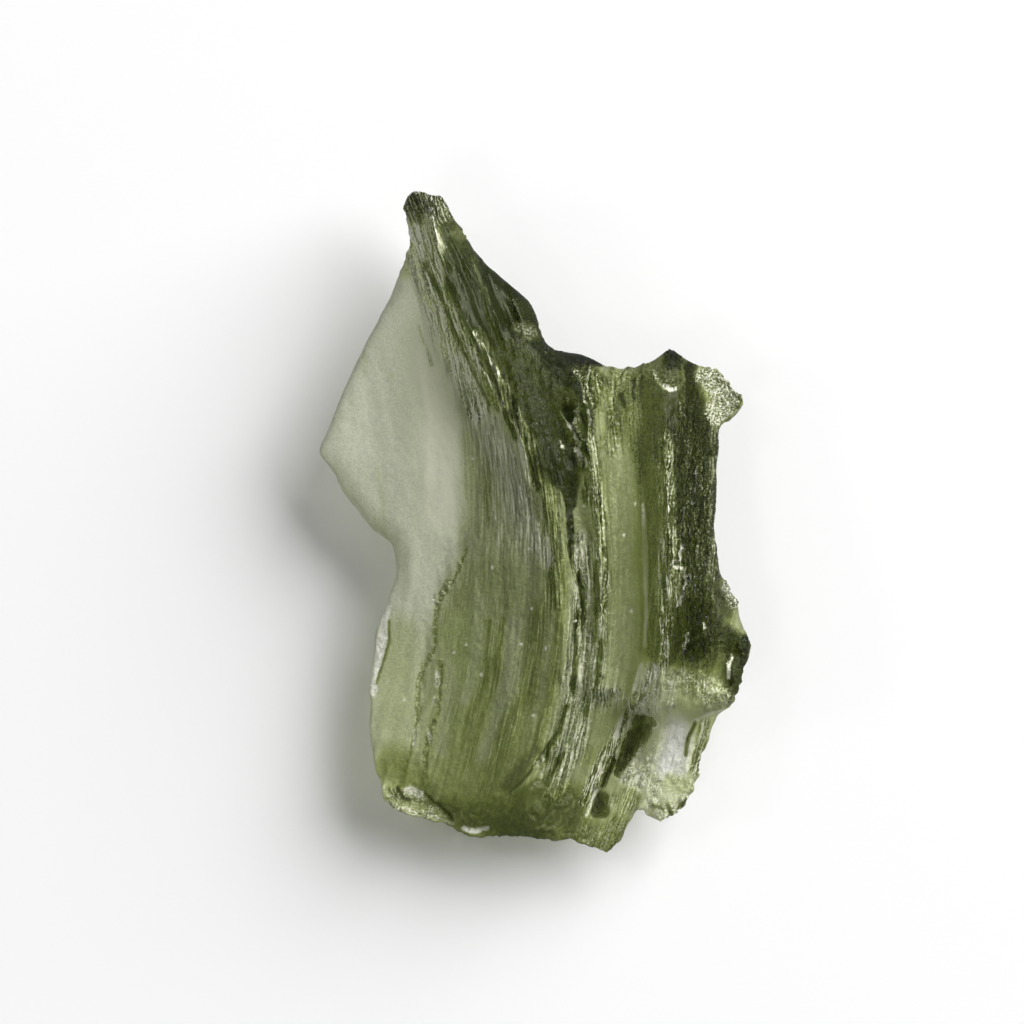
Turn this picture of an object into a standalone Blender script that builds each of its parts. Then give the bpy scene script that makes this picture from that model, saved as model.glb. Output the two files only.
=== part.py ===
"""A moldavite: one natural piece of green glass, broken to a pointed outline and etched by the ground
into ridges, ledges and pits that follow the flow of the once molten glass.

Lengths here are millimetres, and the finished mesh is turned into metres. X runs to the stone's right,
Y towards its pointed spire and Z up, away from the small flat spot on its back that it rests on.
"""

import math

import bpy
from mathutils import Vector, noise
from mathutils.geometry import delaunay_2d_cdt

METRES = 0.001

# Driving dimensions
STONE_WIDTH = 19.5
STONE_LENGTH = 29.9
FLAT_SPOT_CENTRE = (0.6, -1.0)
FLAT_SPOT_HALF_WIDTH = 2.6
FLAT_SPOT_HALF_LENGTH = 4.4
FLAT_SPOT_UNEVENNESS = 0.22
BACK_RISE = 0.72
BACK_RISE_LIMIT = 3.2
THINNEST = 0.5

# Spacing of the mesh: finer across the flow than along it, because the ridges run along it
EDGE_STEP = 0.34
FACE_STEP_ACROSS = 0.28
FACE_STEP_ALONG = 0.52
BACK_STEP_ACROSS = 0.46
BACK_STEP_ALONG = 0.75
EDGE_CLEARANCE = 0.24
SHARP_STEP_ALONG = 0.4
SHARP_STEP_ACROSS = 0.26
SHARP_CLEARANCE = 0.17

# The broken outline, clockwise seen from above: each stretch's name, how ragged it is, how blunt its rim
# is as a share of the stone's thickness there, and its corners
OUTLINE = [
    ("spire", 0.05, 0.7, [
        (-5.65, 12.7), (-5.85, 13.55), (-6.0, 14.2), (-5.7, 14.85), (-5.4, 14.95), (-4.7, 14.75),
        (-4.15, 14.75), (-3.85, 14.25), (-3.5, 13.5), (-3.1, 13.1), (-2.8, 12.4)]),
    ("fin", 0.02, 0.5, [
        (-2.15, 11.6), (-1.65, 11.2), (-1.05, 10.7), (-0.15, 9.95), (0.15, 9.15), (0.5, 8.1)]),
    ("saddle", 0.04, 0.6, [(0.75, 7.9), (1.65, 7.7), (2.15, 7.6), (2.65, 7.4), (3.25, 7.05)]),
    ("peak", 0.05, 0.6, [
        (3.5, 7.15), (3.95, 6.95), (4.4, 7.15), (5.25, 7.3), (5.6, 7.6), (5.95, 8.0), (6.15, 8.0),
        (6.4, 7.65), (6.75, 7.4)]),
    ("knob", 0.07, 0.7, [
        (7.25, 7.2), (7.8, 7.1), (8.3, 6.9), (8.6, 6.5), (9.0, 6.15), (9.35, 5.75), (9.4, 5.45),
        (9.25, 5.1), (9.0, 4.8), (8.75, 4.5), (8.35, 4.4)]),
    ("right side", 0.04, 0.6, [
        (8.3, 4.05), (8.3, 3.0), (8.15, 2.3), (8.25, 1.8), (8.15, 0.35), (8.1, -0.45), (8.25, -1.45),
        (8.35, -2.45)]),
    ("bulge", 0.06, 0.55, [
        (8.6, -2.55), (8.95, -3.15), (9.2, -3.35), (9.2, -4.1), (9.5, -4.85), (9.7, -5.15),
        (9.75, -5.5), (9.6, -6.2), (9.35, -6.85), (9.25, -7.3), (8.85, -8.3)]),
    ("shelf", 0.05, 0.6, [
        (8.25, -8.65), (7.95, -9.35), (7.9, -9.7), (7.6, -10.45), (7.45, -10.85), (7.45, -11.4),
        (7.15, -12.1), (6.8, -12.8)]),
    ("lobe", 0.07, 0.65, [(6.55, -12.95), (6.3, -13.25), (5.65, -13.5), (5.05, -13.2), (4.9, -12.95)]),
    ("tail", 0.04, 0.5, [
        (4.6, -12.95), (4.25, -13.5), (3.9, -14.4), (3.6, -14.6), (3.3, -14.9), (2.5, -14.65),
        (1.6, -14.3), (1.0, -14.4)]),
    ("foot", 0.02, 0.45, [(0.2, -14.2), (-1.25, -14.15), (-2.45, -14.2), (-3.0, -14.15), (-3.4, -13.95)]),
    ("corner", 0.05, 0.5, [
        (-4.1, -13.6), (-5.3, -13.3), (-6.3, -12.95), (-6.65, -12.7), (-6.9, -12.4), (-7.0, -11.55)]),
    ("left side", 0.03, 0.45, [
        (-7.2, -11.15), (-7.4, -9.9), (-7.5, -9.2), (-7.4, -8.0), (-7.5, -7.5), (-7.35, -6.3),
        (-7.2, -4.95), (-6.9, -4.05), (-6.5, -3.0)]),
    ("waist", 0.04, 0.5, [(-6.3, -2.45), (-6.25, -2.0), (-6.35, -1.1), (-6.55, -0.85), (-7.4, -0.25)]),
    ("wing", 0.02, 0.55, [
        (-8.0, 0.55), (-8.45, 1.1), (-8.75, 1.55), (-9.0, 2.15), (-9.65, 2.95), (-9.75, 3.25),
        (-9.35, 4.15), (-8.75, 5.7), (-8.1, 7.15), (-7.3, 8.7), (-6.5, 10.2), (-6.1, 11.3)]),
]

# Lines that run down the face with the flow, from left to right. A station is (y, x, height, roughness).
FACE_LINES = [
    ("beyond the left edge", [(15.0, -12.0, 4.4, 0.04), (3.0, -12.0, 4.0, 0.03), (-3.0, -12.0, 3.2, 0.03),
                              (-15.0, -12.0, 2.4, 0.05)]),
    ("wing crease", [(15.0, -5.9, 6.2, 0.2), (12.5, -5.6, 5.0, 0.12), (8.7, -4.7, 4.5, 0.06),
                     (5.5, -3.5, 4.6, 0.06), (2.4, -2.6, 4.7, 0.06), (-0.3, -2.9, 4.3, 0.06),
                     (-2.4, -4.0, 4.0, 0.1), (-4.4, -4.7, 3.8, 0.1), (-8.0, -5.2, 3.6, 0.1),
                     (-12.5, -5.5, 3.0, 0.1)]),
    ("crest", [(15.0, -5.0, 6.6, 0.3), (12.3, -4.3, 7.2, 0.35), (8.9, -3.2, 7.7, 0.4), (7.1, -2.4, 7.9, 0.4),
               (5.3, -1.3, 7.9, 0.3), (2.8, -0.2, 7.6, 0.2), (0.1, 0.6, 7.2, 0.16), (-2.6, 1.1, 6.9, 0.14),
               (-5.3, 1.3, 6.7, 0.14), (-8.0, 1.0, 6.4, 0.14), (-10.7, 0.4, 5.9, 0.14),
               (-12.9, -0.2, 5.1, 0.12), (-14.7, -0.6, 4.0, 0.1)]),
    ("valley", [(15.0, -3.8, 5.9, 0.3), (12.3, -2.9, 6.3, 0.25), (10.0, -2.2, 6.6, 0.2), (8.0, -1.6, 6.9, 0.3),
                (6.2, -0.2, 7.0, 0.35), (4.6, 0.9, 6.8, 0.35), (2.4, 1.7, 6.5, 0.3), (-0.8, 2.2, 6.1, 0.2),
                (-4.4, 2.4, 5.9, 0.2), (-7.5, 2.1, 5.6, 0.15), (-10.2, 1.6, 5.2, 0.15),
                (-12.5, 0.9, 4.7, 0.15), (-14.7, 0.4, 4.0, 0.1)]),
    ("rough column", [(15.0, -2.5, 5.0, 0.1), (12.3, -1.4, 5.0, 0.06), (10.0, 0.4, 5.2, 0.06),
                      (8.0, 1.2, 6.0, 0.2), (6.0, 2.3, 6.7, 0.4), (3.7, 2.5, 6.9, 0.4), (1.0, 2.7, 6.8, 0.35),
                      (-1.7, 2.9, 6.5, 0.35), (-5.3, 3.1, 6.3, 0.35), (-8.0, 2.8, 6.0, 0.35),
                      (-10.2, 2.2, 5.5, 0.3), (-12.5, 1.5, 4.9, 0.2), (-14.7, 0.9, 4.0, 0.1)]),
    ("smooth channel", [(15.0, -1.6, 4.6, 0.05), (8.0, 2.9, 5.4, 0.08), (5.5, 3.6, 5.8, 0.08),
                        (2.8, 3.9, 5.9, 0.06), (-0.8, 4.1, 5.8, 0.06), (-4.4, 4.1, 5.5, 0.06),
                        (-7.5, 3.7, 5.1, 0.1), (-10.2, 3.0, 4.7, 0.15), (-12.5, 2.4, 4.2, 0.2),
                        (-14.7, 1.8, 3.6, 0.1)]),
    ("foot of the step", [(15.0, 0.2, 4.4, 0.05), (8.0, 4.7, 5.2, 0.1), (3.7, 4.8, 5.9, 0.06),
                          (-0.8, 4.8, 5.9, 0.06), (-5.3, 4.8, 5.7, 0.06), (-8.0, 4.4, 5.3, 0.15),
                          (-10.7, 3.7, 4.7, 0.2), (-12.9, 2.9, 4.2, 0.2), (-14.7, 2.2, 3.6, 0.1)]),
    ("top of the step", [(15.0, 0.5, 4.4, 0.05), (8.0, 5.0, 5.5, 0.15), (3.7, 5.1, 6.5, 0.1),
                         (-0.8, 5.1, 6.7, 0.1), (-5.3, 5.1, 6.5, 0.1), (-8.0, 4.7, 5.9, 0.2),
                         (-10.7, 4.0, 5.2, 0.2), (-12.9, 3.2, 4.4, 0.2), (-14.7, 2.5, 3.6, 0.1)]),
    ("right crest", [(15.0, 2.9, 4.0, 0.05), (8.0, 6.1, 5.6, 0.3), (3.7, 5.9, 6.8, 0.3), (0.1, 5.8, 7.2, 0.3),
                     (-3.5, 6.1, 7.2, 0.35), (-6.2, 6.2, 7.0, 0.35), (-8.9, 5.8, 6.5, 0.3),
                     (-14.7, 5.4, 5.0, 0.2)]),
    ("right valley", [(15.0, 4.7, 4.0, 0.05), (8.0, 6.9, 5.0, 0.3), (4.6, 6.8, 6.0, 0.3), (1.0, 7.0, 6.5, 0.35),
                      (-2.6, 7.0, 6.7, 0.35), (-5.3, 7.4, 6.7, 0.35), (-8.9, 7.3, 6.1, 0.3),
                      (-14.7, 7.2, 4.5, 0.2)]),
    ("right brow", [(15.0, 6.5, 3.6, 0.05), (8.0, 7.7, 3.8, 0.2), (4.2, 7.7, 5.2, 0.25), (1.0, 7.6, 5.8, 0.25),
                    (-1.7, 7.7, 6.1, 0.3), (-4.4, 8.4, 6.4, 0.4), (-7.1, 8.6, 6.1, 0.4), (-10.7, 8.5, 5.3, 0.3),
                    (-14.7, 8.1, 4.0, 0.2)]),
    ("beyond the right edge", [(15.0, 12.0, 3.4, 0.1), (-15.0, 12.0, 3.8, 0.2)]),
]

# Bowls that flakes left when they broke off: centre x, y, half width, half length, turn in degrees,
# height of the bowl's floor, and how far its wall rises at the half sizes
FACE_FLAKES = [
    (8.5, 5.7, 1.05, 1.5, 0.0, 4.0, 0.6),
    (1.9, 7.7, 1.1, 0.7, -12.0, 5.1, 1.0),
    (9.0, -3.3, 0.5, 0.9, -25.0, 4.6, 0.8),
    (-5.9, -12.4, 0.75, 0.6, 20.0, 2.1, 0.7),
    (-6.6, -11.9, 0.45, 0.7, 0.0, 2.0, 0.6),
    (-4.7, -13.1, 0.8, 0.45, -14.0, 2.0, 0.7),
    (-5.2, -12.6, 0.45, 0.4, 40.0, 2.3, 0.5),
    (-2.6, -13.9, 0.8, 0.35, -4.0, 2.6, 0.6),
    (5.4, -13.3, 0.7, 0.5, 10.0, 2.6, 0.6),
]

# Pits etched into the face: centre x, y, half width, half length, turn in degrees and depth
FACE_PITS = [
    (1.5, 5.2, 0.28, 0.62, 12.0, 0.55), (2.1, 4.5, 0.3, 0.7, 8.0, 0.6), (1.3, 3.9, 0.24, 0.6, 15.0, 0.45),
    (1.9, 3.2, 0.26, 0.8, 6.0, 0.5), (2.5, 5.8, 0.3, 0.45, 0.0, 0.45), (1.0, 4.6, 0.22, 0.5, 20.0, 0.4),
    (4.75, -9.7, 0.5, 1.15, -12.0, 1.1), (2.85, -12.6, 0.45, 0.6, 10.0, 0.9),
    (0.3, -11.0, 0.3, 1.1, -38.0, 0.45), (6.4, -2.0, 0.35, 0.9, -8.0, 0.5), (-1.4, 9.6, 0.4, 1.2, 25.0, 0.5),
    (8.9, -5.9, 0.35, 0.6, 0.0, 0.5), (8.4, -6.9, 0.4, 0.5, 20.0, 0.55),
]

# The step where the upper layer ends above the lower right lobe, and the lobe's own height and slopes
LEDGE_LINE = [(4.4, -8.4), (5.9, -9.0), (7.4, -8.75), (9.2, -8.2)]
LOBE_SIDE_LINE = [(4.7, -8.0), (3.8, -9.8), (2.9, -11.6), (2.0, -13.4), (1.4, -14.9)]
LOBE_FLOOR = 3.4
LEDGE_SLOPE = 7.0
LEDGE_WIDTH = 0.35
LOBE_SIDE_SLOPE = 0.75

# Face lines that end in a sharp edge, so that a row of the mesh's points lies on each
SHARP_LINES = ("crest", "foot of the step", "top of the step", "right crest")

# Hollows that thin the stone from behind, then flakes off the back: centre x, y, half width, half length,
# turn, height of the hollow's roof, and how far it drops at the half sizes
BACK_HOLLOWS = [
    (6.3, -10.3, 1.3, 2.0, -8.0, 2.2, 0.9),
    (8.6, 5.6, 1.4, 1.6, 0.0, 2.7, 0.6),
    (-6.6, 5.0, 3.0, 5.2, 17.0, 2.9, 0.7),
    (-5.6, -6.5, 1.3, 3.8, 4.0, 1.8, 0.7),
    (4.4, 1.4, 0.8, 3.2, 0.0, 1.3, 0.6),
    (0.6, 9.4, 1.2, 1.8, 30.0, 2.7, 0.8),
    (-4.6, 12.6, 1.0, 2.0, -8.0, 3.3, 0.8),
    (-4.3, 4.4, 1.4, 4.4, 16.0, 3.2, 0.9),
    (-4.7, -1.6, 1.2, 2.8, -6.0, 2.3, 0.8),
    (-2.2, -10.2, 1.5, 0.9, 14.0, 1.7, 0.8),
    (1.8, -11.8, 0.9, 1.6, 32.0, 1.9, 0.8),
    (5.4, -5.4, 0.9, 1.9, -14.0, 1.6, 0.8),
    (7.3, -1.2, 0.8, 2.2, 5.0, 2.3, 0.8),
    (3.0, 5.9, 1.7, 0.9, -10.0, 2.0, 0.8),
]

# Flow of the glass: its lines bend to the left above and below the level where they turn
UPPER_BEND = 0.0149
UPPER_BEND_FADES_FROM = 1.0
UPPER_BEND_GONE_AT = 6.0
LOWER_BEND_LEFT = 0.012
LOWER_BEND_RIGHT = 0.021
TURN_LEFT = (-3.5, 1.0)
TURN_RIGHT = (3.0, -3.5)

# Texture: ridge and grain sizes across and along the flow
RIDGE_ACROSS = 0.95
RIDGE_ALONG = 6.0
GRAIN_SIZE = 1.1
GRAIN_HEIGHT = 0.24
SWELL_SIZE = 4.5
SWELL_HEIGHT = 0.45
LINE_WANDER = 0.22
LINE_WANDER_SIZE = 2.4
BACK_RIDGE_HEIGHT = 0.26
BACK_GRAIN_HEIGHT = 0.35

# The wing is smooth on its back: its centre x, y, half width, half length and turn, and the share of
# the back's texture that is left on it
WING_OVAL = (-6.2, 5.0, 3.2, 6.0, 16.0)
WING_TEXTURE_SHARE = 0.2

# The rim between face and back
RIM_THINNEST = 0.4
RIM_THICKEST = 3.0
FACE_ROUNDING = 0.8
BACK_ROUNDING = 1.1
RIM_BULGE = 0.1

GLASS_COLOUR = (0.16, 0.2, 0.075, 1.0)


def blend(start, end, share):
    return start + (end - start) * share


def smooth_share(value, start, end):
    """0 before start and 1 after end, with a soft change between them."""
    share = min(1.0, max(0.0, (value - start) / (end - start)))
    return share * share * (3.0 - 2.0 * share)


def flow_bend(across, y):
    """How far the flow line named by its place across the stone has bent to the left at height y."""
    side = smooth_share(across, TURN_LEFT[0], TURN_RIGHT[0])
    reach = y - blend(TURN_LEFT[1], TURN_RIGHT[1], side)
    if reach > 0.0:
        strength = UPPER_BEND * (1.0 - smooth_share(across, UPPER_BEND_FADES_FROM, UPPER_BEND_GONE_AT))
    else:
        strength = blend(LOWER_BEND_LEFT, LOWER_BEND_RIGHT, side)
    return strength * reach * reach


def flow_across(x, y):
    """The flow line that passes through a point, named by its place across the stone where it turns."""
    across = x
    for _ in range(12):
        across = x + flow_bend(across, y)
    return across


def ragged_outline():
    """The outline's points at an even spacing, with small chips off its broken edge."""
    corners = [(x, y, ragged, blunt) for _, ragged, blunt, points in OUTLINE for x, y in points]
    points = []
    for start, end in zip(corners, corners[1:] + corners[:1]):
        length = math.dist(start[:2], end[:2])
        steps = max(1, round(length / EDGE_STEP))
        normal = ((end[1] - start[1]) / length, (start[0] - end[0]) / length)
        for step in range(steps):
            x = blend(start[0], end[0], step / steps)
            y = blend(start[1], end[1], step / steps)
            bluntness = blend(start[3], end[3], step / steps)
            chip = 2.0 * start[2] * noise.noise(Vector((x * 2.3, y * 2.3, 4.0)))
            points.append((x + normal[0] * chip, y + normal[1] * chip, bluntness))
    return points


def line_at(stations, y):
    """Where a face line is at height y: its x, its height and its roughness."""
    for upper, lower in zip(stations, stations[1:]):
        if y >= lower[0]:
            break
    share = min(1.0, max(0.0, (upper[0] - y) / (upper[0] - lower[0])))
    return [blend(upper[i], lower[i], share) for i in (1, 2, 3)]


def line_wander(x, y):
    """How far the face lines stray from their straight stretches."""
    return LINE_WANDER * noise.noise(Vector((x * 0.4, y / LINE_WANDER_SIZE, 21.0)))


def face_lines_height(x, y):
    """The face between its flow lines, before any texture, and how rough it is there."""
    x += line_wander(x, y)
    places = [line_at(stations, y) for _, stations in FACE_LINES]
    for left, right in zip(places, places[1:]):
        if x <= right[0]:
            break
    share = min(1.0, max(0.0, (x - left[0]) / (right[0] - left[0])))
    return blend(left[1], right[1], share), blend(left[2], right[2], share)


def oval_reach(x, y, centre_x, centre_y, half_width, half_length, turn):
    """Distance from an oval's centre: 0 there and 1 at its edge."""
    angle = math.radians(turn)
    dx = x - centre_x
    dy = y - centre_y
    sideways = dx * math.cos(angle) + dy * math.sin(angle)
    endways = dy * math.cos(angle) - dx * math.sin(angle)
    return math.hypot(sideways / half_width, endways / half_length)


def side_of_line(line, x, y):
    """Distance of a point from an open line, positive on the line's right hand."""
    nearest = None
    for start, end in zip(line, line[1:]):
        run = Vector((end[0] - start[0], end[1] - start[1]))
        offset = Vector((x - start[0], y - start[1]))
        share = min(1.0, max(0.0, offset.dot(run) / run.length_squared))
        gap = (offset - run * share).length
        if nearest is None or gap < abs(nearest):
            right_hand = offset.x * run.y - offset.y * run.x
            nearest = math.copysign(gap, right_hand)
    return nearest


def ridge_texture(x, y, seed):
    """Sharp ridges that run with the flow, between -1 and 1."""
    across = flow_across(x, y)
    coarse = noise.noise(Vector((across / RIDGE_ACROSS, y / RIDGE_ALONG, seed)))
    fine = noise.noise(Vector((across * 1.9 / RIDGE_ACROSS, y * 1.6 / RIDGE_ALONG, seed + 7.0)))
    return 1.0 - 2.4 * abs(coarse) - 1.2 * abs(fine)


def grain_texture(x, y, seed):
    """Lumps with no direction, between -1 and 1."""
    return noise.fractal(Vector((x / GRAIN_SIZE, y / GRAIN_SIZE, seed)), 0.8, 2.0, 3)


def back_height(x, y):
    """The underside: flat in one spot, rising gently and unevenly to the edges."""
    reach = oval_reach(x, y, *FLAT_SPOT_CENTRE, FLAT_SPOT_HALF_WIDTH, FLAT_SPOT_HALF_LENGTH, 0.0)
    reach += FLAT_SPOT_UNEVENNESS * noise.noise(Vector((x * 0.5, y * 0.5, 61.0)))
    if reach <= 1.0:
        return 0.0
    away = reach - 1.0
    height = BACK_RISE_LIMIT * (1.0 - math.exp(-BACK_RISE * away ** 1.2))
    for *oval, ceiling, drop in BACK_HOLLOWS:
        height = max(height, ceiling - drop * oval_reach(x, y, *oval) ** 2)
    texture = BACK_RIDGE_HEIGHT * ridge_texture(x, y, 31.0) + BACK_GRAIN_HEIGHT * grain_texture(x, y, 43.0)
    texture *= blend(WING_TEXTURE_SHARE, 1.0, smooth_share(oval_reach(x, y, *WING_OVAL), 0.75, 1.25))
    return max(0.06, height + texture * smooth_share(away, 0.0, 0.7))


def face_height(x, y):
    """The upper face: flow lines and ridges, then the flakes, ledge and pits that cut into them."""
    height, roughness = face_lines_height(x, y)
    height += roughness * ridge_texture(x, y, 3.0)
    height += (0.15 + roughness) * GRAIN_HEIGHT * grain_texture(x, y, 11.0)
    height += SWELL_HEIGHT * noise.noise(Vector((x / SWELL_SIZE, y / SWELL_SIZE, 29.0)))
    below_ledge = side_of_line(LEDGE_LINE, x, y)
    right_of_lobe_side = -side_of_line(LOBE_SIDE_LINE, x, y)
    lobe = LOBE_FLOOR + 0.5 * GRAIN_HEIGHT * grain_texture(x, y, 17.0)
    lobe += LEDGE_SLOPE * max(0.0, -below_ledge) + LOBE_SIDE_SLOPE * max(0.0, -right_of_lobe_side)
    height = min(height, lobe)
    for *oval, floor, rise in FACE_FLAKES:
        height = min(height, floor + rise * oval_reach(x, y, *oval) ** 2)
    for *oval, depth in FACE_PITS:
        height -= depth * (1.0 - smooth_share(oval_reach(x, y, *oval), 0.35, 1.25))
    return height


def nearest_edge(x, y, outline):
    """How far inside the outline a point lies, and how blunt the rim nearest to it is."""
    nearest = (99.0, 0.0)
    point = Vector((x, y))
    for start, end in zip(outline, outline[1:] + outline[:1]):
        run = Vector((end[0] - start[0], end[1] - start[1]))
        offset = point - Vector(start[:2])
        share = min(1.0, max(0.0, offset.dot(run) / run.length_squared))
        nearest = min(nearest, ((offset - run * share).length, start[2]))
    return nearest


def heights(x, y, edge, bluntness):
    """The back's and the face's height at a point, drawn together towards the rim."""
    low = back_height(x, y)
    high = max(face_height(x, y), low + THINNEST)
    middle = blend(low, high, 0.5)
    half_rim = 0.5 * min(RIM_THICKEST, max(RIM_THINNEST, bluntness * (high - low)))
    high = blend(middle + half_rim, high, smooth_share(edge, -0.15, FACE_ROUNDING) ** 0.7)
    low = blend(middle - half_rim, low, smooth_share(edge, -0.15, BACK_ROUNDING) ** 0.7)
    return low, high


def inside(x, y, outline):
    """Whether a point lies within the outline, by counting the edges to its right."""
    crossings = 0
    for start, end in zip(outline, outline[1:] + outline[:1]):
        if (start[1] > y) != (end[1] > y):
            share = (y - start[1]) / (end[1] - start[1])
            if x < blend(start[0], end[0], share):
                crossings += 1
    return crossings % 2 == 1


def sharp_points():
    """Rows of points on the face's sharp lines and along both edges of the ledge."""
    points = []
    lines = dict(FACE_LINES)
    for name in SHARP_LINES:
        for row in range(int(STONE_LENGTH / SHARP_STEP_ALONG)):
            y = STONE_LENGTH / 2.0 - row * SHARP_STEP_ALONG
            x = line_at(lines[name], y)[0]
            points.append((x - line_wander(x, y), y))
    for start, end in zip(LEDGE_LINE, LEDGE_LINE[1:]):
        steps = round(math.dist(start, end) / SHARP_STEP_ACROSS)
        for step in range(steps):
            x = blend(start[0], end[0], step / steps)
            y = blend(start[1], end[1], step / steps)
            points += [(x, y), (x, y + LEDGE_WIDTH)]
    return points


def in_outline(places, outline):
    """Those places that lie in the outline and clear of its edge, with their edge distance and bluntness."""
    kept = []
    for x, y in places:
        if inside(x, y, outline):
            edge, bluntness = nearest_edge(x, y, outline)
            if edge > EDGE_CLEARANCE:
                kept.append((x, y, edge, bluntness))
    return kept


def flow_points(outline, step_across, step_along, seed, rows_kept):
    """Places in staggered rows that follow the flow, none of them too near to the rows kept already."""
    stretch = step_across / step_along
    kept = [Vector((flow_across(x, y), y * stretch)) for x, y in rows_kept]
    places = list(rows_kept)
    rows = int(STONE_LENGTH / step_along) + 2
    columns = int((STONE_WIDTH + 8.0) / step_across) + 2
    for row in range(rows):
        y_row = (row + 0.25) * step_along - STONE_LENGTH / 2.0
        near = [point for point in kept if abs(point.y - y_row * stretch) < 2.0 * SHARP_CLEARANCE]
        for column in range(columns):
            drift = 0.18 * noise.noise(Vector((column * 0.73, row * 0.61, seed)))
            across = (column + 0.5 * (row % 2) + drift) * step_across - STONE_WIDTH / 2.0
            y = y_row + drift * step_along
            here = Vector((across, y * stretch))
            if all((point - here).length > SHARP_CLEARANCE for point in near):
                places.append((across - flow_bend(across, y), y))
    return in_outline(places, outline)


def fill_outline(outline, points, stretch):
    """Triangles over the outline and the points in it, drawn out along the flow."""
    ring = len(outline)
    places = [point[:2] for point in outline + points]
    flat = [Vector((flow_across(x, y), y * stretch)) for x, y in places]
    edges = [(i, (i + 1) % ring) for i in range(ring)]
    verts, _, faces, originals, _, _ = delaunay_2d_cdt(
        flat, edges, [list(reversed(range(ring)))], 1, 1e-6)
    names = [list(group)[0] for group in originals]
    triangles = []
    for face in faces:
        a, b, c = [Vector(verts[i]) for i in face]
        corners = [names[i] for i in face]
        turns_left = (b - a).cross(c - a) > 0.0
        triangles.append(corners if turns_left else corners[::-1])
    return triangles


def pulled_in(outline, depth, seed):
    """The outline moved inwards by an uneven small amount, for a worn rim."""
    moved = []
    count = len(outline)
    for i, (x, y, bluntness) in enumerate(outline):
        before = outline[i - 1]
        after = outline[(i + 1) % count]
        run = Vector((after[0] - before[0], after[1] - before[1])).normalized()
        amount = depth * (0.6 + 0.9 * abs(noise.noise(Vector((x * 1.7, y * 1.7, seed)))))
        moved.append((x + run.y * amount, y - run.x * amount, bluntness))
    return moved


def stone_mesh():
    """The whole stone as one closed shell: face, back and the rim between them."""
    outline = ragged_outline()
    face_ring = pulled_in(outline, RIM_BULGE, 51.0)
    back_ring = pulled_in(outline, RIM_BULGE, 67.0)
    face_points = flow_points(outline, FACE_STEP_ACROSS, FACE_STEP_ALONG, 71.0, sharp_points())
    back_points = flow_points(outline, BACK_STEP_ACROSS, BACK_STEP_ALONG, 83.0, [])
    ring = len(outline)

    vertices = [(x, y, heights(x, y, 0.0, blunt)[1]) for x, y, blunt in face_ring]
    vertices += [(x, y, heights(x, y, edge, blunt)[1]) for x, y, edge, blunt in face_points]
    rim_start = len(vertices)
    vertices += [(x, y, blend(*heights(x, y, 0.0, blunt), 0.5)) for x, y, blunt in outline]
    back_start = len(vertices)
    vertices += [(x, y, heights(x, y, 0.0, blunt)[0]) for x, y, blunt in back_ring]
    vertices += [(x, y, heights(x, y, edge, blunt)[0]) for x, y, edge, blunt in back_points]

    faces = fill_outline(face_ring, face_points, FACE_STEP_ACROSS / FACE_STEP_ALONG)
    back = fill_outline(back_ring, back_points, BACK_STEP_ACROSS / BACK_STEP_ALONG)
    faces += [[back_start + corner for corner in reversed(triangle)] for triangle in back]
    for i in range(ring):
        following = (i + 1) % ring
        for upper, lower in ((0, rim_start), (rim_start, back_start)):
            faces.append([upper + i, upper + following, lower + i])
            faces.append([upper + following, lower + following, lower + i])
    return vertices, faces


def make_glass():
    """Clear olive green glass."""
    glass = bpy.data.materials.new("moldavite_glass")
    glass.use_nodes = True
    shader = glass.node_tree.nodes["Principled BSDF"]
    shader.inputs["Base Color"].default_value = GLASS_COLOUR
    shader.inputs["Roughness"].default_value = 0.3
    shader.inputs["Metallic"].default_value = 0.0
    return glass


def make_stone():
    """The stone as an object, centred over its origin and standing on its flat spot."""
    vertices, faces = stone_mesh()
    xs = [x for x, _, _ in vertices]
    ys = [y for _, y, _ in vertices]
    middle_x = (min(xs) + max(xs)) / 2.0
    middle_y = (min(ys) + max(ys)) / 2.0
    lowest = min(z for _, _, z in vertices)
    mesh = bpy.data.meshes.new("moldavite")
    placed = [((x - middle_x) * METRES, (y - middle_y) * METRES, (z - lowest) * METRES) for x, y, z in vertices]
    mesh.from_pydata(placed, [], faces)
    mesh.validate()
    mesh.update()
    stone = bpy.data.objects.new("moldavite", mesh)
    bpy.context.scene.collection.objects.link(stone)
    mesh.materials.append(make_glass())
    return stone


for old in list(bpy.data.objects):
    bpy.data.objects.remove(old, do_unlink=True)
make_stone()
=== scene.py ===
# %% [markdown]
# # A moldavite, seen from straight above
# A moldavite is a splash of molten rock that froze to green glass in flight and was then etched by damp
# ground for millions of years. This stone is one piece: a thin pale wing on the left, a dark crest that
# runs up into a spire, a body of green bands and a rough, stepped lower right. The frame gives the true
# shape as a coarse solid. This lesson turns a copy of it into a finely carved surface and gives it glass
# that drinks light the thicker it gets.

import bpy
import numpy as np
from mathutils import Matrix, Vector, noise


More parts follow.
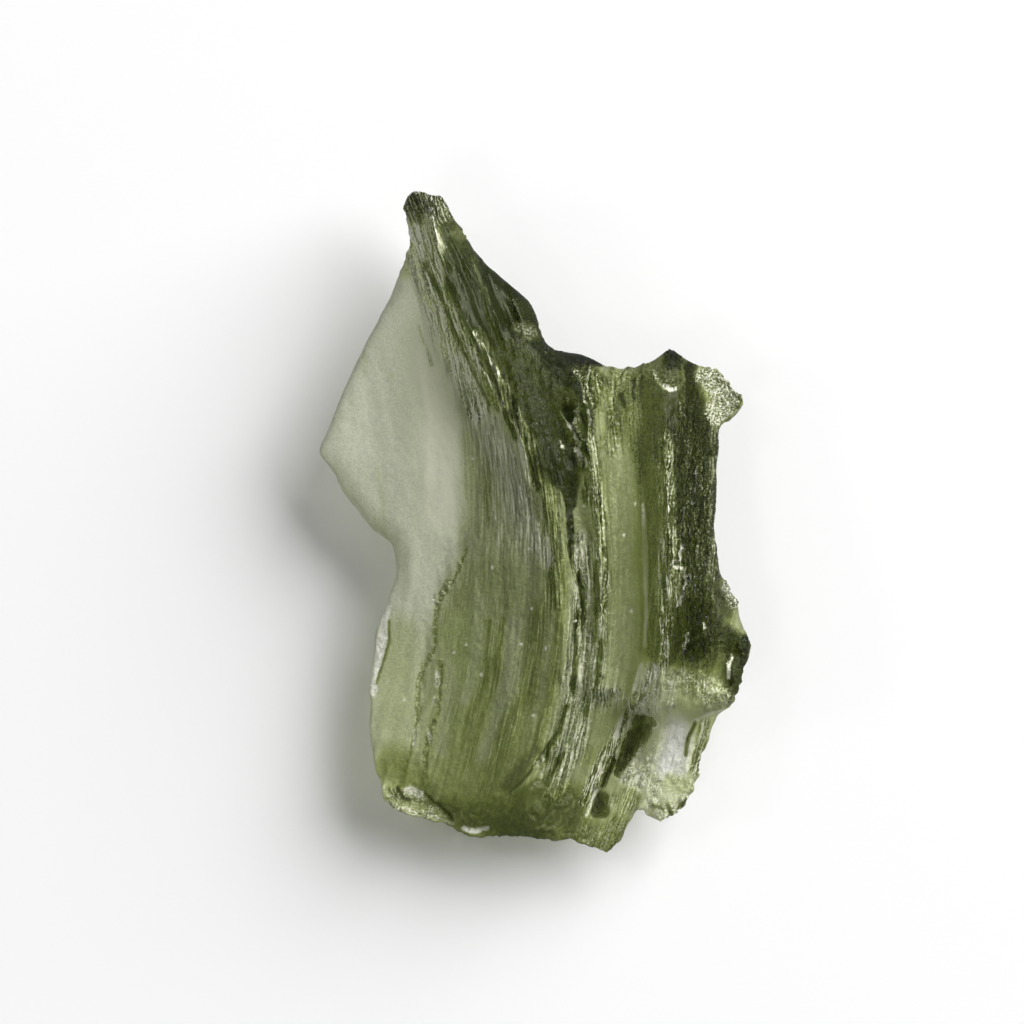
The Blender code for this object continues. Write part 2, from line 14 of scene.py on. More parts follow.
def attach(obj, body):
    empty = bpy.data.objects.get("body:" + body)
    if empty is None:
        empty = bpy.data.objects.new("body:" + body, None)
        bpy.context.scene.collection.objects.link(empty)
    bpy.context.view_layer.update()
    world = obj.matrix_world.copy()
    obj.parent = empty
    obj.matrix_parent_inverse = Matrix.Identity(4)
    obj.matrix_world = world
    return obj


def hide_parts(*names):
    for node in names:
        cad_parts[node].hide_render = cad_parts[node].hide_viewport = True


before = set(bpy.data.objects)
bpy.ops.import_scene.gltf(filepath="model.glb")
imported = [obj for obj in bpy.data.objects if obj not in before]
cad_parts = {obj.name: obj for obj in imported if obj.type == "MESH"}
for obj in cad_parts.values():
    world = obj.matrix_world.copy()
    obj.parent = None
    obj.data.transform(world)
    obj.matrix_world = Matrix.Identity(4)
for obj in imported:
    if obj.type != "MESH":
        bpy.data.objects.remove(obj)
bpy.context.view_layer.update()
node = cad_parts["moldavite"]
MM = 0.001

# %% [markdown]
# ## Camera
# The stone is photographed from straight above with a long lens, which keeps tall ridges from leaning
# outwards. A long lens far away and a short lens close by can frame the same width, so the distance
# follows from the width of the view. The near clip is small because the whole scene is only centimetres.

# %% Camera above the stone
VIEW_WIDTH = 46.08 * MM
LENS = 200.0
SENSOR = 36.0
NEAR_CLIP = 0.005
FAR_CLIP = 10.0
OUTLINE_HEIGHT = 3.4 * MM
VIEW_CENTRE = (-1.06 * MM, 0.47 * MM)

camera = bpy.data.objects.new("camera", bpy.data.cameras.new("camera"))
bpy.context.scene.collection.objects.link(camera)
camera.data.lens = LENS
camera.data.sensor_width = SENSOR
camera.data.clip_start = NEAR_CLIP
camera.data.clip_end = FAR_CLIP
camera.location = (*VIEW_CENTRE, OUTLINE_HEIGHT + VIEW_WIDTH * LENS / SENSOR)
bpy.context.scene.camera = camera
print("camera height in mm:", round(camera.location.z / MM, 1))

# %% [markdown]
# ## Floor and light
# Clear glass shows what is under and around it, so the pale floor is half of its colour. One large soft
# light comes from the upper right and throws a wide soft shadow to the lower left. The world fills in
# the rest evenly. The floor is hidden from mirror reflections, where it would lay a grey veil over the dark
# glass, and so is the large light as far as the renderer can do that. Three small bright lights on the left
# fill the shadow a little, and their reflections make part of the fine glints along the ridges; the rest
# are painted white on the glass.

# %% Floor
FLOOR_SIZE = 4.0
FLOOR_GAP = 0.03 * MM
CARD_WHITE = (0.9, 0.9, 0.9, 1.0)
CARD_ROUGHNESS = 0.9


def plain_material(name, colour, roughness):
    material = bpy.data.materials.new(name)
    material.use_nodes = True
    shader = material.node_tree.nodes["Principled BSDF"]
    shader.inputs["Base Color"].default_value = colour
    shader.inputs["Roughness"].default_value = roughness
    return material


def deselect_all():
    for thing in bpy.context.selected_objects:
        thing.select_set(False)


deselect_all()
bpy.ops.mesh.primitive_plane_add(size=FLOOR_SIZE, location=(0.0, 0.0, -FLOOR_GAP))
floor = bpy.context.object
floor.name = "floor"
floor.data.transform(floor.matrix_world)
floor.matrix_world.identity()
floor.data.materials.append(plain_material("white_card", CARD_WHITE, CARD_ROUGHNESS))
floor.visible_glossy = False
print("floor:", FLOOR_SIZE, "m wide")

# %% Lights
WORLD_WHITE = (1.0, 1.0, 1.0, 1.0)
WORLD_STRENGTH = 0.185
LIGHT_DISTANCE = 1.0
KEY_DIRECTION = (0.66, 0.52, 0.56)
KEY_SIZE = 0.95
KEY_POWER = 19.5
GLINT_DIRECTIONS = {"glint_upper": (-0.45, 0.30, 1.0), "glint_lower": (-0.35, -0.35, 1.0),
                    "glint_side": (-0.95, 0.05, 0.8)}
GLINT_SIZE = 0.13
GLINT_POWER = 0.36


def soft_light(name, direction, size, power):
    """A square light that points at the stone from a direction."""
    data = bpy.data.lights.new(name, "AREA")
    data.size = size
    data.energy = power
    light = bpy.data.objects.new(name, data)
    bpy.context.scene.collection.objects.link(light)
    light.location = Vector(direction).normalized() * LIGHT_DISTANCE
    light.rotation_euler = (-light.location).to_track_quat("-Z", "Y").to_euler()
    return light


world = bpy.data.worlds.new("studio")
bpy.context.scene.world = world
world.use_nodes = True
background = world.node_tree.nodes["Background"]
background.inputs["Color"].default_value = WORLD_WHITE
background.inputs["Strength"].default_value = WORLD_STRENGTH
key = soft_light("key", KEY_DIRECTION, KEY_SIZE, KEY_POWER)
key.visible_glossy = False
for name, direction in GLINT_DIRECTIONS.items():
    soft_light(name, direction, GLINT_SIZE, GLINT_POWER)
bpy.context.scene.view_settings.view_transform = "Standard"

# %% [markdown]
# ## A finer copy of the stone
# The frame's solid is a shell of flat triangles. A copy of it is merged into one skin and cut finer, most
# of all on the etched top, where the fine lines will be; the smooth wing and the back need fewer points.
# The new points are smoothed a little, which rounds the flat triangles but keeps the ridges and ledges
# that the solid already has.

# %% Copy, merge and subdivide
BASE_CUTS = 1
TOP_CUTS = 1
DETAIL_CUTS = 2
# The border of the fine zone: (y, x) in mm, from the foot up to the spire.
DETAIL_EDGE = [(-11.5, -9.5), (-10.5, -6.6), (-6.2, -5.6), (-3.0, -4.8), (1.9, -3.5), (4.2, -3.5),
               (15.0, -6.6)]
TOP_LEAN = 0.15
MERGE_DISTANCE = 0.002 * MM
SMOOTHING = 0.5
SMOOTHING_STEPS = 6


def choose_faces(wanted):
    """Selects the faces that a test finds, in edit mode."""
    bpy.ops.mesh.select_all(action="DESELECT")
    bpy.ops.object.mode_set(mode="OBJECT")
    for face in stone.data.polygons:
        face.select = wanted(face)
    bpy.ops.object.mode_set(mode="EDIT")


def on_top(face):
    return face.normal.z > TOP_LEAN


def in_detail(face):
    """True on the etched top, to the right of the wing."""
    edge = np.interp(face.center.y / MM, [y for y, _ in DETAIL_EDGE], [x for _, x in DETAIL_EDGE])
    return on_top(face) and bool(face.center.x / MM > edge)


stone = bpy.data.objects.new("moldavite_stone", node.data.copy())
bpy.context.scene.collection.objects.link(stone)
deselect_all()
stone.select_set(True)
bpy.context.view_layer.objects.active = stone
stone.data.materials.clear()
bpy.ops.mesh.customdata_custom_splitnormals_clear()
bpy.ops.object.mode_set(mode="EDIT")
bpy.ops.mesh.select_all(action="SELECT")
bpy.ops.mesh.remove_doubles(threshold=MERGE_DISTANCE)
bpy.ops.mesh.select_mode(type="FACE")
bpy.ops.mesh.subdivide(number_cuts=BASE_CUTS)
choose_faces(in_detail)
bpy.ops.mesh.subdivide(number_cuts=DETAIL_CUTS)
choose_faces(lambda face: on_top(face) and not in_detail(face))
bpy.ops.mesh.subdivide(number_cuts=TOP_CUTS)
bpy.ops.mesh.select_all(action="SELECT")
bpy.ops.mesh.quads_convert_to_tris()
bpy.ops.mesh.vertices_smooth(factor=SMOOTHING, repeat=SMOOTHING_STEPS)
bpy.ops.object.mode_set(mode="OBJECT")
bpy.ops.object.shade_smooth()
print("fine stone:", len(stone.data.polygons), "triangles")

# %% [markdown]
# ## The flow of the glass
# While it was molten the glass was drawn out, and every ridge follows that flow: a fan of lines shaped
# like a closing bracket. A UV map called Flow stores, for each point, which flow line it lies on and how
# far along the stone it is. A texture on that map is then combed along the flow without more work. A
# share of the height is added, so that steep walls show the flow as layers lying on each other.

# %% Flow map
# Lengths are in mm here. A bend is how far a line leans off, as a share of the square of its reach.
UPPER_BEND = 0.0149
UPPER_BEND_FADES = (1.0, 6.0)
LOWER_BENDS = (0.012, 0.021)
TURN_LEFT = (-3.5, 1.0)
TURN_RIGHT = (3.0, -3.5)
FLOW_ROUNDS = 12
ALONG_SCALE = 6.0
HEIGHT_SHARE = 0.15


def smooth_share(value, start, end):
    share = np.clip((value - start) / (end - start), 0.0, 1.0)
    return share * share * (3.0 - 2.0 * share)


def flow_across(x, y):
    """The flow line through each point, named by its place across the stone where it turns, in mm."""
    across = x.copy()
    for _ in range(FLOW_ROUNDS):
        side = smooth_share(across, TURN_LEFT[0], TURN_RIGHT[0])
        reach = y - (TURN_LEFT[1] + (TURN_RIGHT[1] - TURN_LEFT[1]) * side)
        upper = UPPER_BEND * (1.0 - smooth_share(across, *UPPER_BEND_FADES))
        lower = LOWER_BENDS[0] + (LOWER_BENDS[1] - LOWER_BENDS[0]) * side
        across = x + np.where(reach > 0.0, upper, lower) * reach * reach
    return across


def read_points(mesh):
    """The mesh's points as an array, in mm."""
    points = np.zeros(len(mesh.vertices) * 3)
    mesh.vertices.foreach_get("co", points)
    return points.reshape(-1, 3) / MM


points = read_points(stone.data)
across = flow_across(points[:, 0], points[:, 1]) + HEIGHT_SHARE * points[:, 2]
flow = np.stack([across, points[:, 1] / ALONG_SCALE], axis=1)
corner_points = np.zeros(len(stone.data.loops), dtype=np.int32)
stone.data.loops.foreach_get("vertex_index", corner_points)
while stone.data.uv_layers:
    stone.data.uv_layers.remove(stone.data.uv_layers[0])
flow_layer = stone.data.uv_layers.new(name="Flow")
flow_layer.data.foreach_set("uv", flow[corner_points].ravel())
print("flow map on", len(stone.data.loops), "corners")

# %% [markdown]
# ## Painting layers
# The stone isn't the same all over, so its layers are painted like a mask in weight paint, with strokes
# traced over the photograph. A stroke is a line of points, each with half a width, all in the
# photograph's pixels. Shade is extra green darkness: partly the glass's own deeper colour, partly painted
# shade where the surface turns away from the light. Pale is white scatter: partly crushed glass, partly
# painted glints. Fibre is combed relief and crumb is grainy relief. Every stroke's border wanders along
# the flow, as torn glass does.

# %% The brush
PIXEL = 0.045
PICTURE_CENTRE = (535.5, 522.5)
NO_LENGTH = 1e-9
WANDER_COARSE = 5.0
WANDER_FINE = 2.5
WANDER_DOWN = 0.5
# How fast the two parts of the wander change across the flow, along it and with the height.
COARSE_TURNS = (1.1, 1.6, 0.3)
FINE_TURNS = (3.7, 4.0, 1.0)

place = np.stack([PICTURE_CENTRE[0] + points[:, 0] / PIXEL, PICTURE_CENTRE[1] - points[:, 1] / PIXEL], axis=1)
layers = {name: np.zeros(len(points)) for name in ("shade", "pale", "fibre", "crumb")}


def noise_at(spot, turns):
    return noise.noise(Vector(np.multiply(spot, turns)))


spots = np.column_stack([flow, points[:, 2]])
wander = np.array([WANDER_COARSE * noise_at(spot, COARSE_TURNS) + WANDER_FINE * noise_at(spot, FINE_TURNS)
                   for spot in spots])


def stroke_cover(stroke, soft, loose):
    """1 inside a stroke and 0 outside it, with a soft border. A stroke of one point is a dot."""
    here = place + np.stack([wander, WANDER_DOWN * wander], axis=1) * loose
    cover = np.zeros(len(points))
    if len(stroke) == 1:
        stroke = stroke * 2
    for start, end in zip(stroke, stroke[1:]):
        origin = np.array(start[:2], dtype=float)
        run = np.array(end[:2], dtype=float) - origin
        share = np.clip(((here - origin) @ run) / max(run @ run, NO_LENGTH), 0.0, 1.0)
        half_width = start[2] + (end[2] - start[2]) * share
        gap = np.linalg.norm(here - origin - share[:, None] * run, axis=1)
        cover = np.maximum(cover, 1.0 - smooth_share(gap / half_width, 1.0 - soft, 1.0 + soft))
    return cover


def lay(cover, amounts):
    for name, amount in amounts.items():
        layers[name] += (amount - layers[name]) * cover


def paint(stroke, soft=0.5, loose=1.0, **amounts):
    """Paints one stroke over the layers that are named."""
    lay(stroke_cover(stroke, soft, loose), amounts)


def paint_left_of(border, soft, **amounts):
    """Paints everything to the left of a line that runs down the picture."""
    border_x = np.interp(place[:, 1], [y for _, y in border], [x for x, _ in border])
    lay(smooth_share(border_x - place[:, 0] - wander, -soft, soft), amounts)


print("stone in the photograph's pixels:", place.min(axis=0).round(), place.max(axis=0).round())

# %% [markdown]
# ## Wing and body
# The wing on the left is the thinnest part and nearly free of colour, with faint stains and hairline
# scratches. Its right border softens into the green body, whose darker and lighter bands are layers of
# slightly different glass that were folded together while it flowed. A strip at the body's right edge,
# whose slope faces the large light, gets painted shade.

# %% Wing and body strokes
# The border's points are (x, y), a stroke's points are (x, y, half width).
WING_BORDER = [(400, 200), (412, 245), (424, 290), (436, 320), (450, 355), (464, 395), (470, 430), (471, 480),
               (468, 520), (462, 550), (445, 590), (434, 630), (431, 660), (420, 700), (414, 750), (408, 790)]
WHOLE_STONE = [(600, 180, 300), (600, 900, 300)]
WING_OVAL = [(345, 450, 50), (395, 330, 40), (395, 470, 40)]
WING_GREEN = [(424, 340, 15), (438, 400, 24), (443, 450, 26), (443, 510, 22)]
WING_RIGHT_EDGE = [(472, 440, 10), (476, 500, 12), (468, 545, 12)]
LOWER_LEFT = [(396, 640, 24), (396, 690, 28), (396, 745, 24)]
BODY_TOP = [(505, 400, 30), (508, 450, 32), (510, 520, 34)]
BODY_FOOT = [(490, 760, 50), (465, 800, 44)]
LOWER_LEFT_CORNER = [(396, 768, 20), (408, 782, 16)]
STAINS = ([(363, 350, 2), (366, 362, 3), (366, 375, 2)], [(379, 470, 2), (384, 500, 3), (385, 530, 2)],
          [(375, 517, 2), (384, 528, 3), (390, 541, 2)], [(394, 375, 2), (393, 378, 2)])
SCRATCHES = ([(420, 325, 1.5), (423, 342, 1.5), (427, 355, 1.5)],
             [(424, 343, 1.5), (429, 357, 1.5), (432, 366, 1.5)])
WING_TIP = [(408, 252, 8), (406, 272, 7)]
DARK_BANDS = ([(475, 415, 3), (485, 455, 3), (487, 480, 3), (488, 520, 2)],
              [(506, 420, 4), (516, 462, 4), (527, 492, 5), (540, 525, 5), (545, 560, 4)],
              [(502, 620, 4), (498, 651, 5), (491, 681, 5), (479, 715, 4), (473, 742, 4), (468, 765, 3)],
              [(487, 620, 3), (485, 673, 3), (468, 712, 3), (460, 745, 2)],
              [(539, 610, 8), (531, 666, 9), (524, 693, 9), (508, 736, 9), (496, 761, 9), (488, 785, 8)],
              [(560, 560, 4), (560, 620, 5), (556, 670, 5), (548, 710, 5), (536, 738, 5)])
LIGHT_BANDS = ([(452, 640, 5), (448, 700, 6), (440, 750, 6)], [(478, 600, 6), (476, 650, 6), (464, 700, 5)],
               [(514, 620, 7), (512, 670, 7), (498, 715, 7), (484, 755, 8)],
               [(506, 479, 4), (516, 497, 5), (524, 540, 5), (527, 570, 4)], [(484, 440, 5), (500, 470, 6)])
BODY_RIGHT_SHADE = [(548, 476, 8), (552, 530, 10), (555, 600, 9)]

paint(WHOLE_STONE, soft=0.1, shade=0.42, pale=0.29, fibre=0.12, crumb=0.15)
paint_left_of(WING_BORDER, soft=18, shade=0.13, pale=0.44, fibre=0.0, crumb=0.05)
paint(WING_OVAL, soft=0.8, shade=0.11, pale=0.36)
paint(WING_GREEN, soft=0.95, shade=0.27, pale=0.74)
paint(WING_RIGHT_EDGE, soft=0.9, shade=0.24, pale=0.30, fibre=0.1)
paint(LOWER_LEFT, soft=0.7, shade=0.28, pale=0.30)
paint(BODY_TOP, soft=0.7, shade=0.41, pale=0.44, fibre=0.25)
paint(BODY_FOOT, soft=0.6, shade=0.58)
paint(LOWER_LEFT_CORNER, soft=0.7, shade=0.6, pale=0.15, crumb=0.3)
for stain in STAINS:
    paint(stain, shade=0.2)
for scratch in SCRATCHES:
    paint(scratch, loose=0.0, pale=0.5, fibre=0.6)
paint(WING_TIP, soft=0.8, shade=0.6, crumb=0.6)
for dark_band in DARK_BANDS:
    paint(dark_band, soft=0.8, shade=0.80, fibre=0.25)
for light_band in LIGHT_BANDS:
    paint(light_band, soft=0.9, shade=0.30, pale=0.28)
# Painted shade: this strip's slope faces the large light, and it is painted darker.
paint(BODY_RIGHT_SHADE, soft=0.7, shade=0.74, pale=0.23, fibre=0.5)
print("painted body, mean shade:", round(float(layers["shade"].mean()), 2))

# %% [markdown]
# ## Crest and spire
# The crest is a rope of parallel fibres: harder streaks in the glass that the etching left standing. It
# ends above in a blunt, dark, deeply lined spire. A steep valley to its right falls away from the light,
# and beyond it a smooth dark facet shows where a flake once broke off; valley and facet are painted dark
# as painted shade. The bright lines along the fibres are painted glints.

# %% Crest and spire strokes
SPIRE = [(420, 196, 30), (432, 222, 26)]
STEEP_VALLEY_SHADE = [(462, 245, 22), (486, 290, 34), (512, 312, 36), (520, 336, 30)]
LOWER_CREST = [(474, 400, 18), (504, 460, 18), (524, 515, 12), (545, 560, 7)]
UPPER_CREST = [(415, 236, 9), (423, 262, 13), (433, 300, 15), (446, 335, 16), (462, 372, 14), (478, 415, 9)]
CREST_RIGHT_SIDE = [(441, 244, 5), (451, 290, 6), (465, 330, 7), (482, 368, 8), (502, 410, 6)]
CREST_GROOVE = [(425, 262, 1.5), (434, 284, 2), (441, 298, 1.5)]
VALLEY_FLOOR_SHADE = [(456, 250, 11), (462, 285, 16), (476, 320, 14), (488, 345, 10)]
CREST_TO_SADDLE = [(478, 335, 6), (492, 365, 8), (510, 402, 8), (526, 440, 6), (540, 490, 4)]
FIBRE_GLINT_LINES = ([(411, 240, 1.5), (423, 291, 1.5), (442, 332, 2), (455, 355, 1.5), (475, 390, 1.5),
                 (495, 421, 1)],
                [(430, 272, 1.5), (449, 309, 2), (467, 349, 2), (487, 378, 2), (498, 401, 1.5),
                 (508, 426, 1)],
                [(476, 334, 1.5), (490, 358, 2), (507, 387, 1.5), (517, 406, 1.5), (539, 455, 1.5),
                 (545, 470, 1)],
                [(514, 378, 1.5), (530, 402, 2), (534, 420, 1)])
DARK_LINES = ([(423, 266, 1.5), (441, 298, 2), (452, 332, 2), (472, 372, 2), (490, 408, 1.5)],
              [(460, 318, 2), (474, 342, 3), (486, 364, 3), (502, 402, 3), (514, 440, 2)])
FLAKE_FACET_SHADE = [(496, 282, 14), (510, 298, 22), (526, 314, 18), (508, 332, 16)]
FACET_HAIRLINE = [(488, 288, 1.5), (491, 300, 2), (493, 312, 1.5)]
FACET_SHADE_SPOT = [(527, 308, 12)]
VALLEY_HAIRLINE = [(474, 258, 1.5), (481, 285, 1.5), (487, 315, 1.5), (497, 345, 1.5)]
SPIRE_FACET = [(427, 223, 6), (434, 236, 9), (441, 251, 6)]
SPIRE_CRUMBS = [(462, 236, 8)]
GLINTING_CRUMBS = [(518, 328, 6), (532, 334, 9)]

paint(SPIRE, shade=1.7, pale=0.24, fibre=1.0, crumb=0.4)
# Painted shade: the steep valley turns away from the light.
paint(STEEP_VALLEY_SHADE, soft=0.2, shade=2.6, pale=0.03, fibre=0.15)
paint(LOWER_CREST, soft=0.7, shade=0.25, pale=0.40, fibre=0.4)
paint(UPPER_CREST, soft=0.35, shade=0.20, pale=0.42, fibre=1.0)
paint(CREST_RIGHT_SIDE, soft=0.4, shade=0.8, pale=0.25, fibre=1.0)
paint(CREST_GROOVE, loose=0.6, shade=1.6, pale=0.1, fibre=1.0)
# Painted shade on the valley floor, which turns away from the light.
paint(VALLEY_FLOOR_SHADE, soft=0.3, shade=3.0, pale=0.03, fibre=0.15)
paint(CREST_TO_SADDLE, shade=1.2, pale=0.15, fibre=1.0)
# Painted highlights: white glints along the fibre ridges.
for glint_line in FIBRE_GLINT_LINES:
    paint(glint_line, loose=0.4, shade=0.35, pale=0.37, fibre=0.9)
for dark_line in DARK_LINES:
    paint(dark_line, loose=0.4, shade=1.9, pale=0.08)
# Painted shade on the smooth flake facet, which turns away from the light.
paint(FLAKE_FACET_SHADE, soft=0.25, shade=2.7, pale=0.02, fibre=0.15, crumb=0.0)
paint(FACET_HAIRLINE, shade=1.7, pale=0.12, fibre=0.8)
# Painted shade: a darker spot on the flake facet.
paint(FACET_SHADE_SPOT, soft=0.8, shade=2.2, pale=0.03)
paint(VALLEY_HAIRLINE, loose=0.4, shade=1.8, pale=0.14, fibre=0.8)
paint(SPIRE_FACET, soft=0.3, loose=0.4, shade=0.45, pale=0.45, fibre=0.6)
paint(SPIRE_CRUMBS, shade=1.5, pale=0.15, crumb=1.0)
paint(GLINTING_CRUMBS, shade=1.9, pale=0.32, crumb=1.0)
print("painted crest, points with fibre:", int((layers["fibre"] > 0.5).sum()))

# %% [markdown]
# ## The dark saddle and its pits
# Between the crest and the right-hand side the surface drops into a saddle that faces away from the
# light, so it is painted dark as painted shade. Etching has eaten a cluster of deep pits there; they are
# painted dark as painted shade and their sharp rims white as painted glints.

# %% Saddle strokes
SADDLE = [(512, 358, 16), (532, 385, 24), (548, 415, 26), (560, 445, 20), (568, 475, 12), (572, 505, 6)]
SADDLE_LOW_END = [(552, 462, 16), (560, 478, 10)]
SADDLE_RIM = [(545, 350, 10), (570, 364, 16), (590, 384, 12), (584, 420, 14), (582, 460, 12)]
SADDLE_TOP_CRUMBS = [(548, 362, 7), (562, 376, 9), (578, 392, 9)]
SADDLE_BRIGHT_CRUMBS = [(578, 372, 5), (588, 382, 6), (590, 402, 5)]
DARK_LENS = [(566, 353, 3), (580, 357, 6), (598, 363, 4)]
COLUMN_STRIP = [(588, 372, 7), (596, 386, 7), (596, 404, 7), (594, 430, 6), (592, 460, 6), (588, 500, 6)]
PITTED_GROUND = [(568, 398, 7), (574, 425, 11), (582, 460, 8)]
PIT_SHADES = ([(566, 408, 4), (568, 420, 3)], [(574, 432, 4), (577, 442, 3)], [(582, 416, 3), (584, 428, 3)],
        [(583, 446, 3), (586, 456, 3)], [(571, 456, 3), (572, 464, 2)])
PIT_RIM_GLINTS = ([(560, 414, 1.5), (568, 430, 1.5), (577, 447, 1.5)], [(574, 420, 3), (576, 424, 2)],
            [(587, 412, 1.5), (590, 425, 1.5)], [(561, 442, 1.5), (563, 448, 1.5)],
            [(574, 450, 1.5), (584, 466, 1.5)])
DARK_CLEFT = [(571, 480, 4), (570, 520, 4), (571, 548, 5), (577, 580, 2)]

# Painted shade: the saddle faces away from the light, and so do its rim and top crumbs.
paint(SADDLE, soft=0.3, shade=1.8, pale=0.06, fibre=0.15, crumb=0.9)
paint(SADDLE_LOW_END, soft=0.5, shade=1.5, pale=0.03, fibre=0.4, crumb=0.3)
paint(SADDLE_RIM, soft=0.3, shade=2.4, pale=0.04, crumb=0.6)
paint(SADDLE_TOP_CRUMBS, soft=0.4, shade=2.8, pale=0.04, fibre=0.3, crumb=1.0)
paint(SADDLE_BRIGHT_CRUMBS, soft=0.6, shade=1.2, pale=0.3, fibre=0.7, crumb=1.0)
paint(DARK_LENS, soft=0.2, loose=0.3, shade=2.6, pale=0.0, fibre=0.0, crumb=0.0)
paint(COLUMN_STRIP, soft=0.4, shade=0.95, pale=0.22, fibre=0.8)
paint(PITTED_GROUND, soft=0.4, shade=1.3, pale=0.16, fibre=1.0, crumb=1.0)
# Painted shade in the deep pits, and painted glints on their rims.
for pit_shade in PIT_SHADES:
    paint(pit_shade, loose=0.4, shade=3.0, pale=0.0, crumb=0.4)
for rim_glint in PIT_RIM_GLINTS:
    paint(rim_glint, loose=0.4, shade=0.4, pale=0.5, crumb=1.0)
paint(DARK_CLEFT, soft=0.4, shade=1.7, pale=0.02, fibre=0.6)
print("painted saddle, darkest shade:", round(float(layers["shade"].max()), 2))

# %% [markdown]
# ## Columns
# Down the middle run two columns side by side. The left one is rough and fibrous all the way down. The
# right one is smooth and lighter, and ends at a crisp bright step, where the glass rises to the right.

# %% Column strokes
BOTH_COLUMNS = [(616, 400, 20), (620, 450, 24), (622, 540, 26), (618, 640, 26), (604, 700, 24),
                (590, 745, 20)]
STRIP_BETWEEN = [(594, 440, 6), (597, 480, 7), (598, 510, 7), (599, 545, 6)]
ROUGH_COLUMN = [(584, 545, 12), (589, 600, 16), (588, 645, 18), (581, 700, 18), (568, 745, 17),
                (552, 785, 13)]
ROUGH_FIBRES = ([(604, 548, 2), (606, 575, 3), (604, 610, 2)],
                [(592, 560, 1.5), (594, 600, 2), (594, 640, 1.5)],
                [(600, 640, 2), (596, 680, 2), (588, 715, 2)],
                [(578, 610, 1.5), (576, 650, 2), (571, 690, 1.5)],
                [(566, 705, 1.5), (558, 735, 2), (546, 762, 1.5)],
                [(563, 752, 2), (552, 772, 3), (541, 788, 2)],
                [(582, 575, 1.5), (585, 610, 2), (584, 630, 1.5)])
SMOOTH_COLUMN = [(616, 430, 12), (623, 480, 15), (625, 540, 16), (625, 600, 16), (620, 650, 14),
                 (609, 695, 11), (597, 740, 9)]
SMOOTH_COLUMN_EDGE = [(604, 560, 3), (608, 600, 4), (607, 640, 3)]
SMOOTH_COLUMN_LOW = [(622, 620, 11), (618, 660, 12), (606, 700, 10)]
PAINTED_LIGHT_COLUMN_END = [(596, 697, 9), (614, 696, 9)]
STAINED_TOP = [(626, 384, 20), (640, 408, 24), (648, 445, 18), (652, 490, 8)]
COLUMN_TOP_BAND = [(606, 384, 6), (612, 410, 8), (612, 450, 6)]
COLUMN_TOP_SPOT = [(632, 388, 8)]
TOP_CRACKS = ([(632, 378, 1.5), (633, 400, 1.5)], [(640, 374, 1.5), (641, 398, 1.5)],
              [(619, 396, 3), (622, 406, 2)])
DARK_NICK = [(597, 672, 2), (602, 676, 2)]

paint(BOTH_COLUMNS, soft=0.2, shade=0.56, pale=0.27, fibre=0.15)
paint(STRIP_BETWEEN, shade=0.62, pale=0.28, fibre=0.7)
paint(ROUGH_COLUMN, soft=0.4, shade=0.28, pale=0.26, fibre=0.6, crumb=0.3)
for dark_fibre in ROUGH_FIBRES:
    paint(dark_fibre, soft=0.8, shade=1.35, pale=0.1, fibre=0.9)
paint(SMOOTH_COLUMN, soft=0.35, shade=0.47, pale=0.31, fibre=0.1)
paint(SMOOTH_COLUMN_EDGE, soft=0.8, shade=0.5, pale=0.3)
paint(SMOOTH_COLUMN_LOW, soft=0.8, shade=0.43, pale=0.34)
# Painted light: lightens the column's end, where its slope falls into shade.
paint(PAINTED_LIGHT_COLUMN_END, soft=0.9, shade=0.22, pale=0.34, fibre=0.9)
paint(STAINED_TOP, soft=0.7, loose=1.6, shade=0.95, pale=0.20, fibre=0.4, crumb=0.8)
paint(COLUMN_TOP_BAND, soft=0.8, shade=0.75, pale=0.24, fibre=0.6)
paint(COLUMN_TOP_SPOT, soft=0.8, shade=1.0, pale=0.18)
for crack in TOP_CRACKS:
    paint(crack, loose=0.3, shade=2.8, pale=0.0)
paint(DARK_NICK, loose=0.2, shade=1.9)
print("painted columns, mean shade:", round(float(layers["shade"].mean()), 2))

# %% [markdown]
# ## The right-hand crest
# To the right of the step the stone is thickest. Bands of olive, glinting grey and near-black glass run
# down it side by side, and its right edge thins out again. The near-black is partly the thick glass and
# partly painted shade on steep facets, and the grey band's glints are partly painted white. On top sit a
# dark little peak and a knob that has crumbled to white grains.

# %% Right-hand strokes
THICK_SIDE = [(660, 395, 22), (680, 430, 36), (680, 500, 37), (680, 570, 38), (684, 640, 38)]
OLIVE_BAND = [(651, 470, 8), (651, 540, 7), (651, 600, 7), (652, 648, 8)]
STEP_LINE = [(641, 505, 1.5), (643, 560, 2), (644, 600, 2), (643, 645, 1.5)]
GLINTING_BAND = [(662, 440, 8), (665, 500, 10), (667, 560, 10), (664, 620, 8), (660, 665, 7)]
NEAR_BLACK_SHADE_BAND = [(690, 392, 9), (690, 440, 15), (692, 500, 16), (693, 560, 16), (692, 610, 19),
                   (690, 645, 18)]
BLACK_SHADE_LOW = [(696, 608, 12), (694, 642, 14)]
DARK_SEAM = [(676, 430, 6), (680, 480, 5), (682, 520, 4)]
THIN_EDGE = [(714, 432, 5), (713, 480, 5), (712, 530, 6), (714, 575, 6)]
EDGE_LINE = [(719, 440, 1.5), (718, 500, 1.5), (716, 550, 1.5)]
GLINT_TRAIL = [(680, 548, 1.2), (677, 560, 1.2), (671, 564, 1.2), (679, 567, 1.2), (681, 581, 1.2),
               (679, 592, 1.2), (675, 604, 1.2)]
RIGHT_FLECKS = ([(681, 634, 1.5), (685, 640, 1.5)], [(684, 632, 1.5), (680, 646, 1.5)],
                [(702, 622, 1.5), (704, 634, 1.5)], [(660, 625, 1.5), (663, 655, 1.5)],
                [(715, 625, 1.5), (712, 634, 1.5)])
PEAK = [(672, 349, 9), (672, 363, 11)]
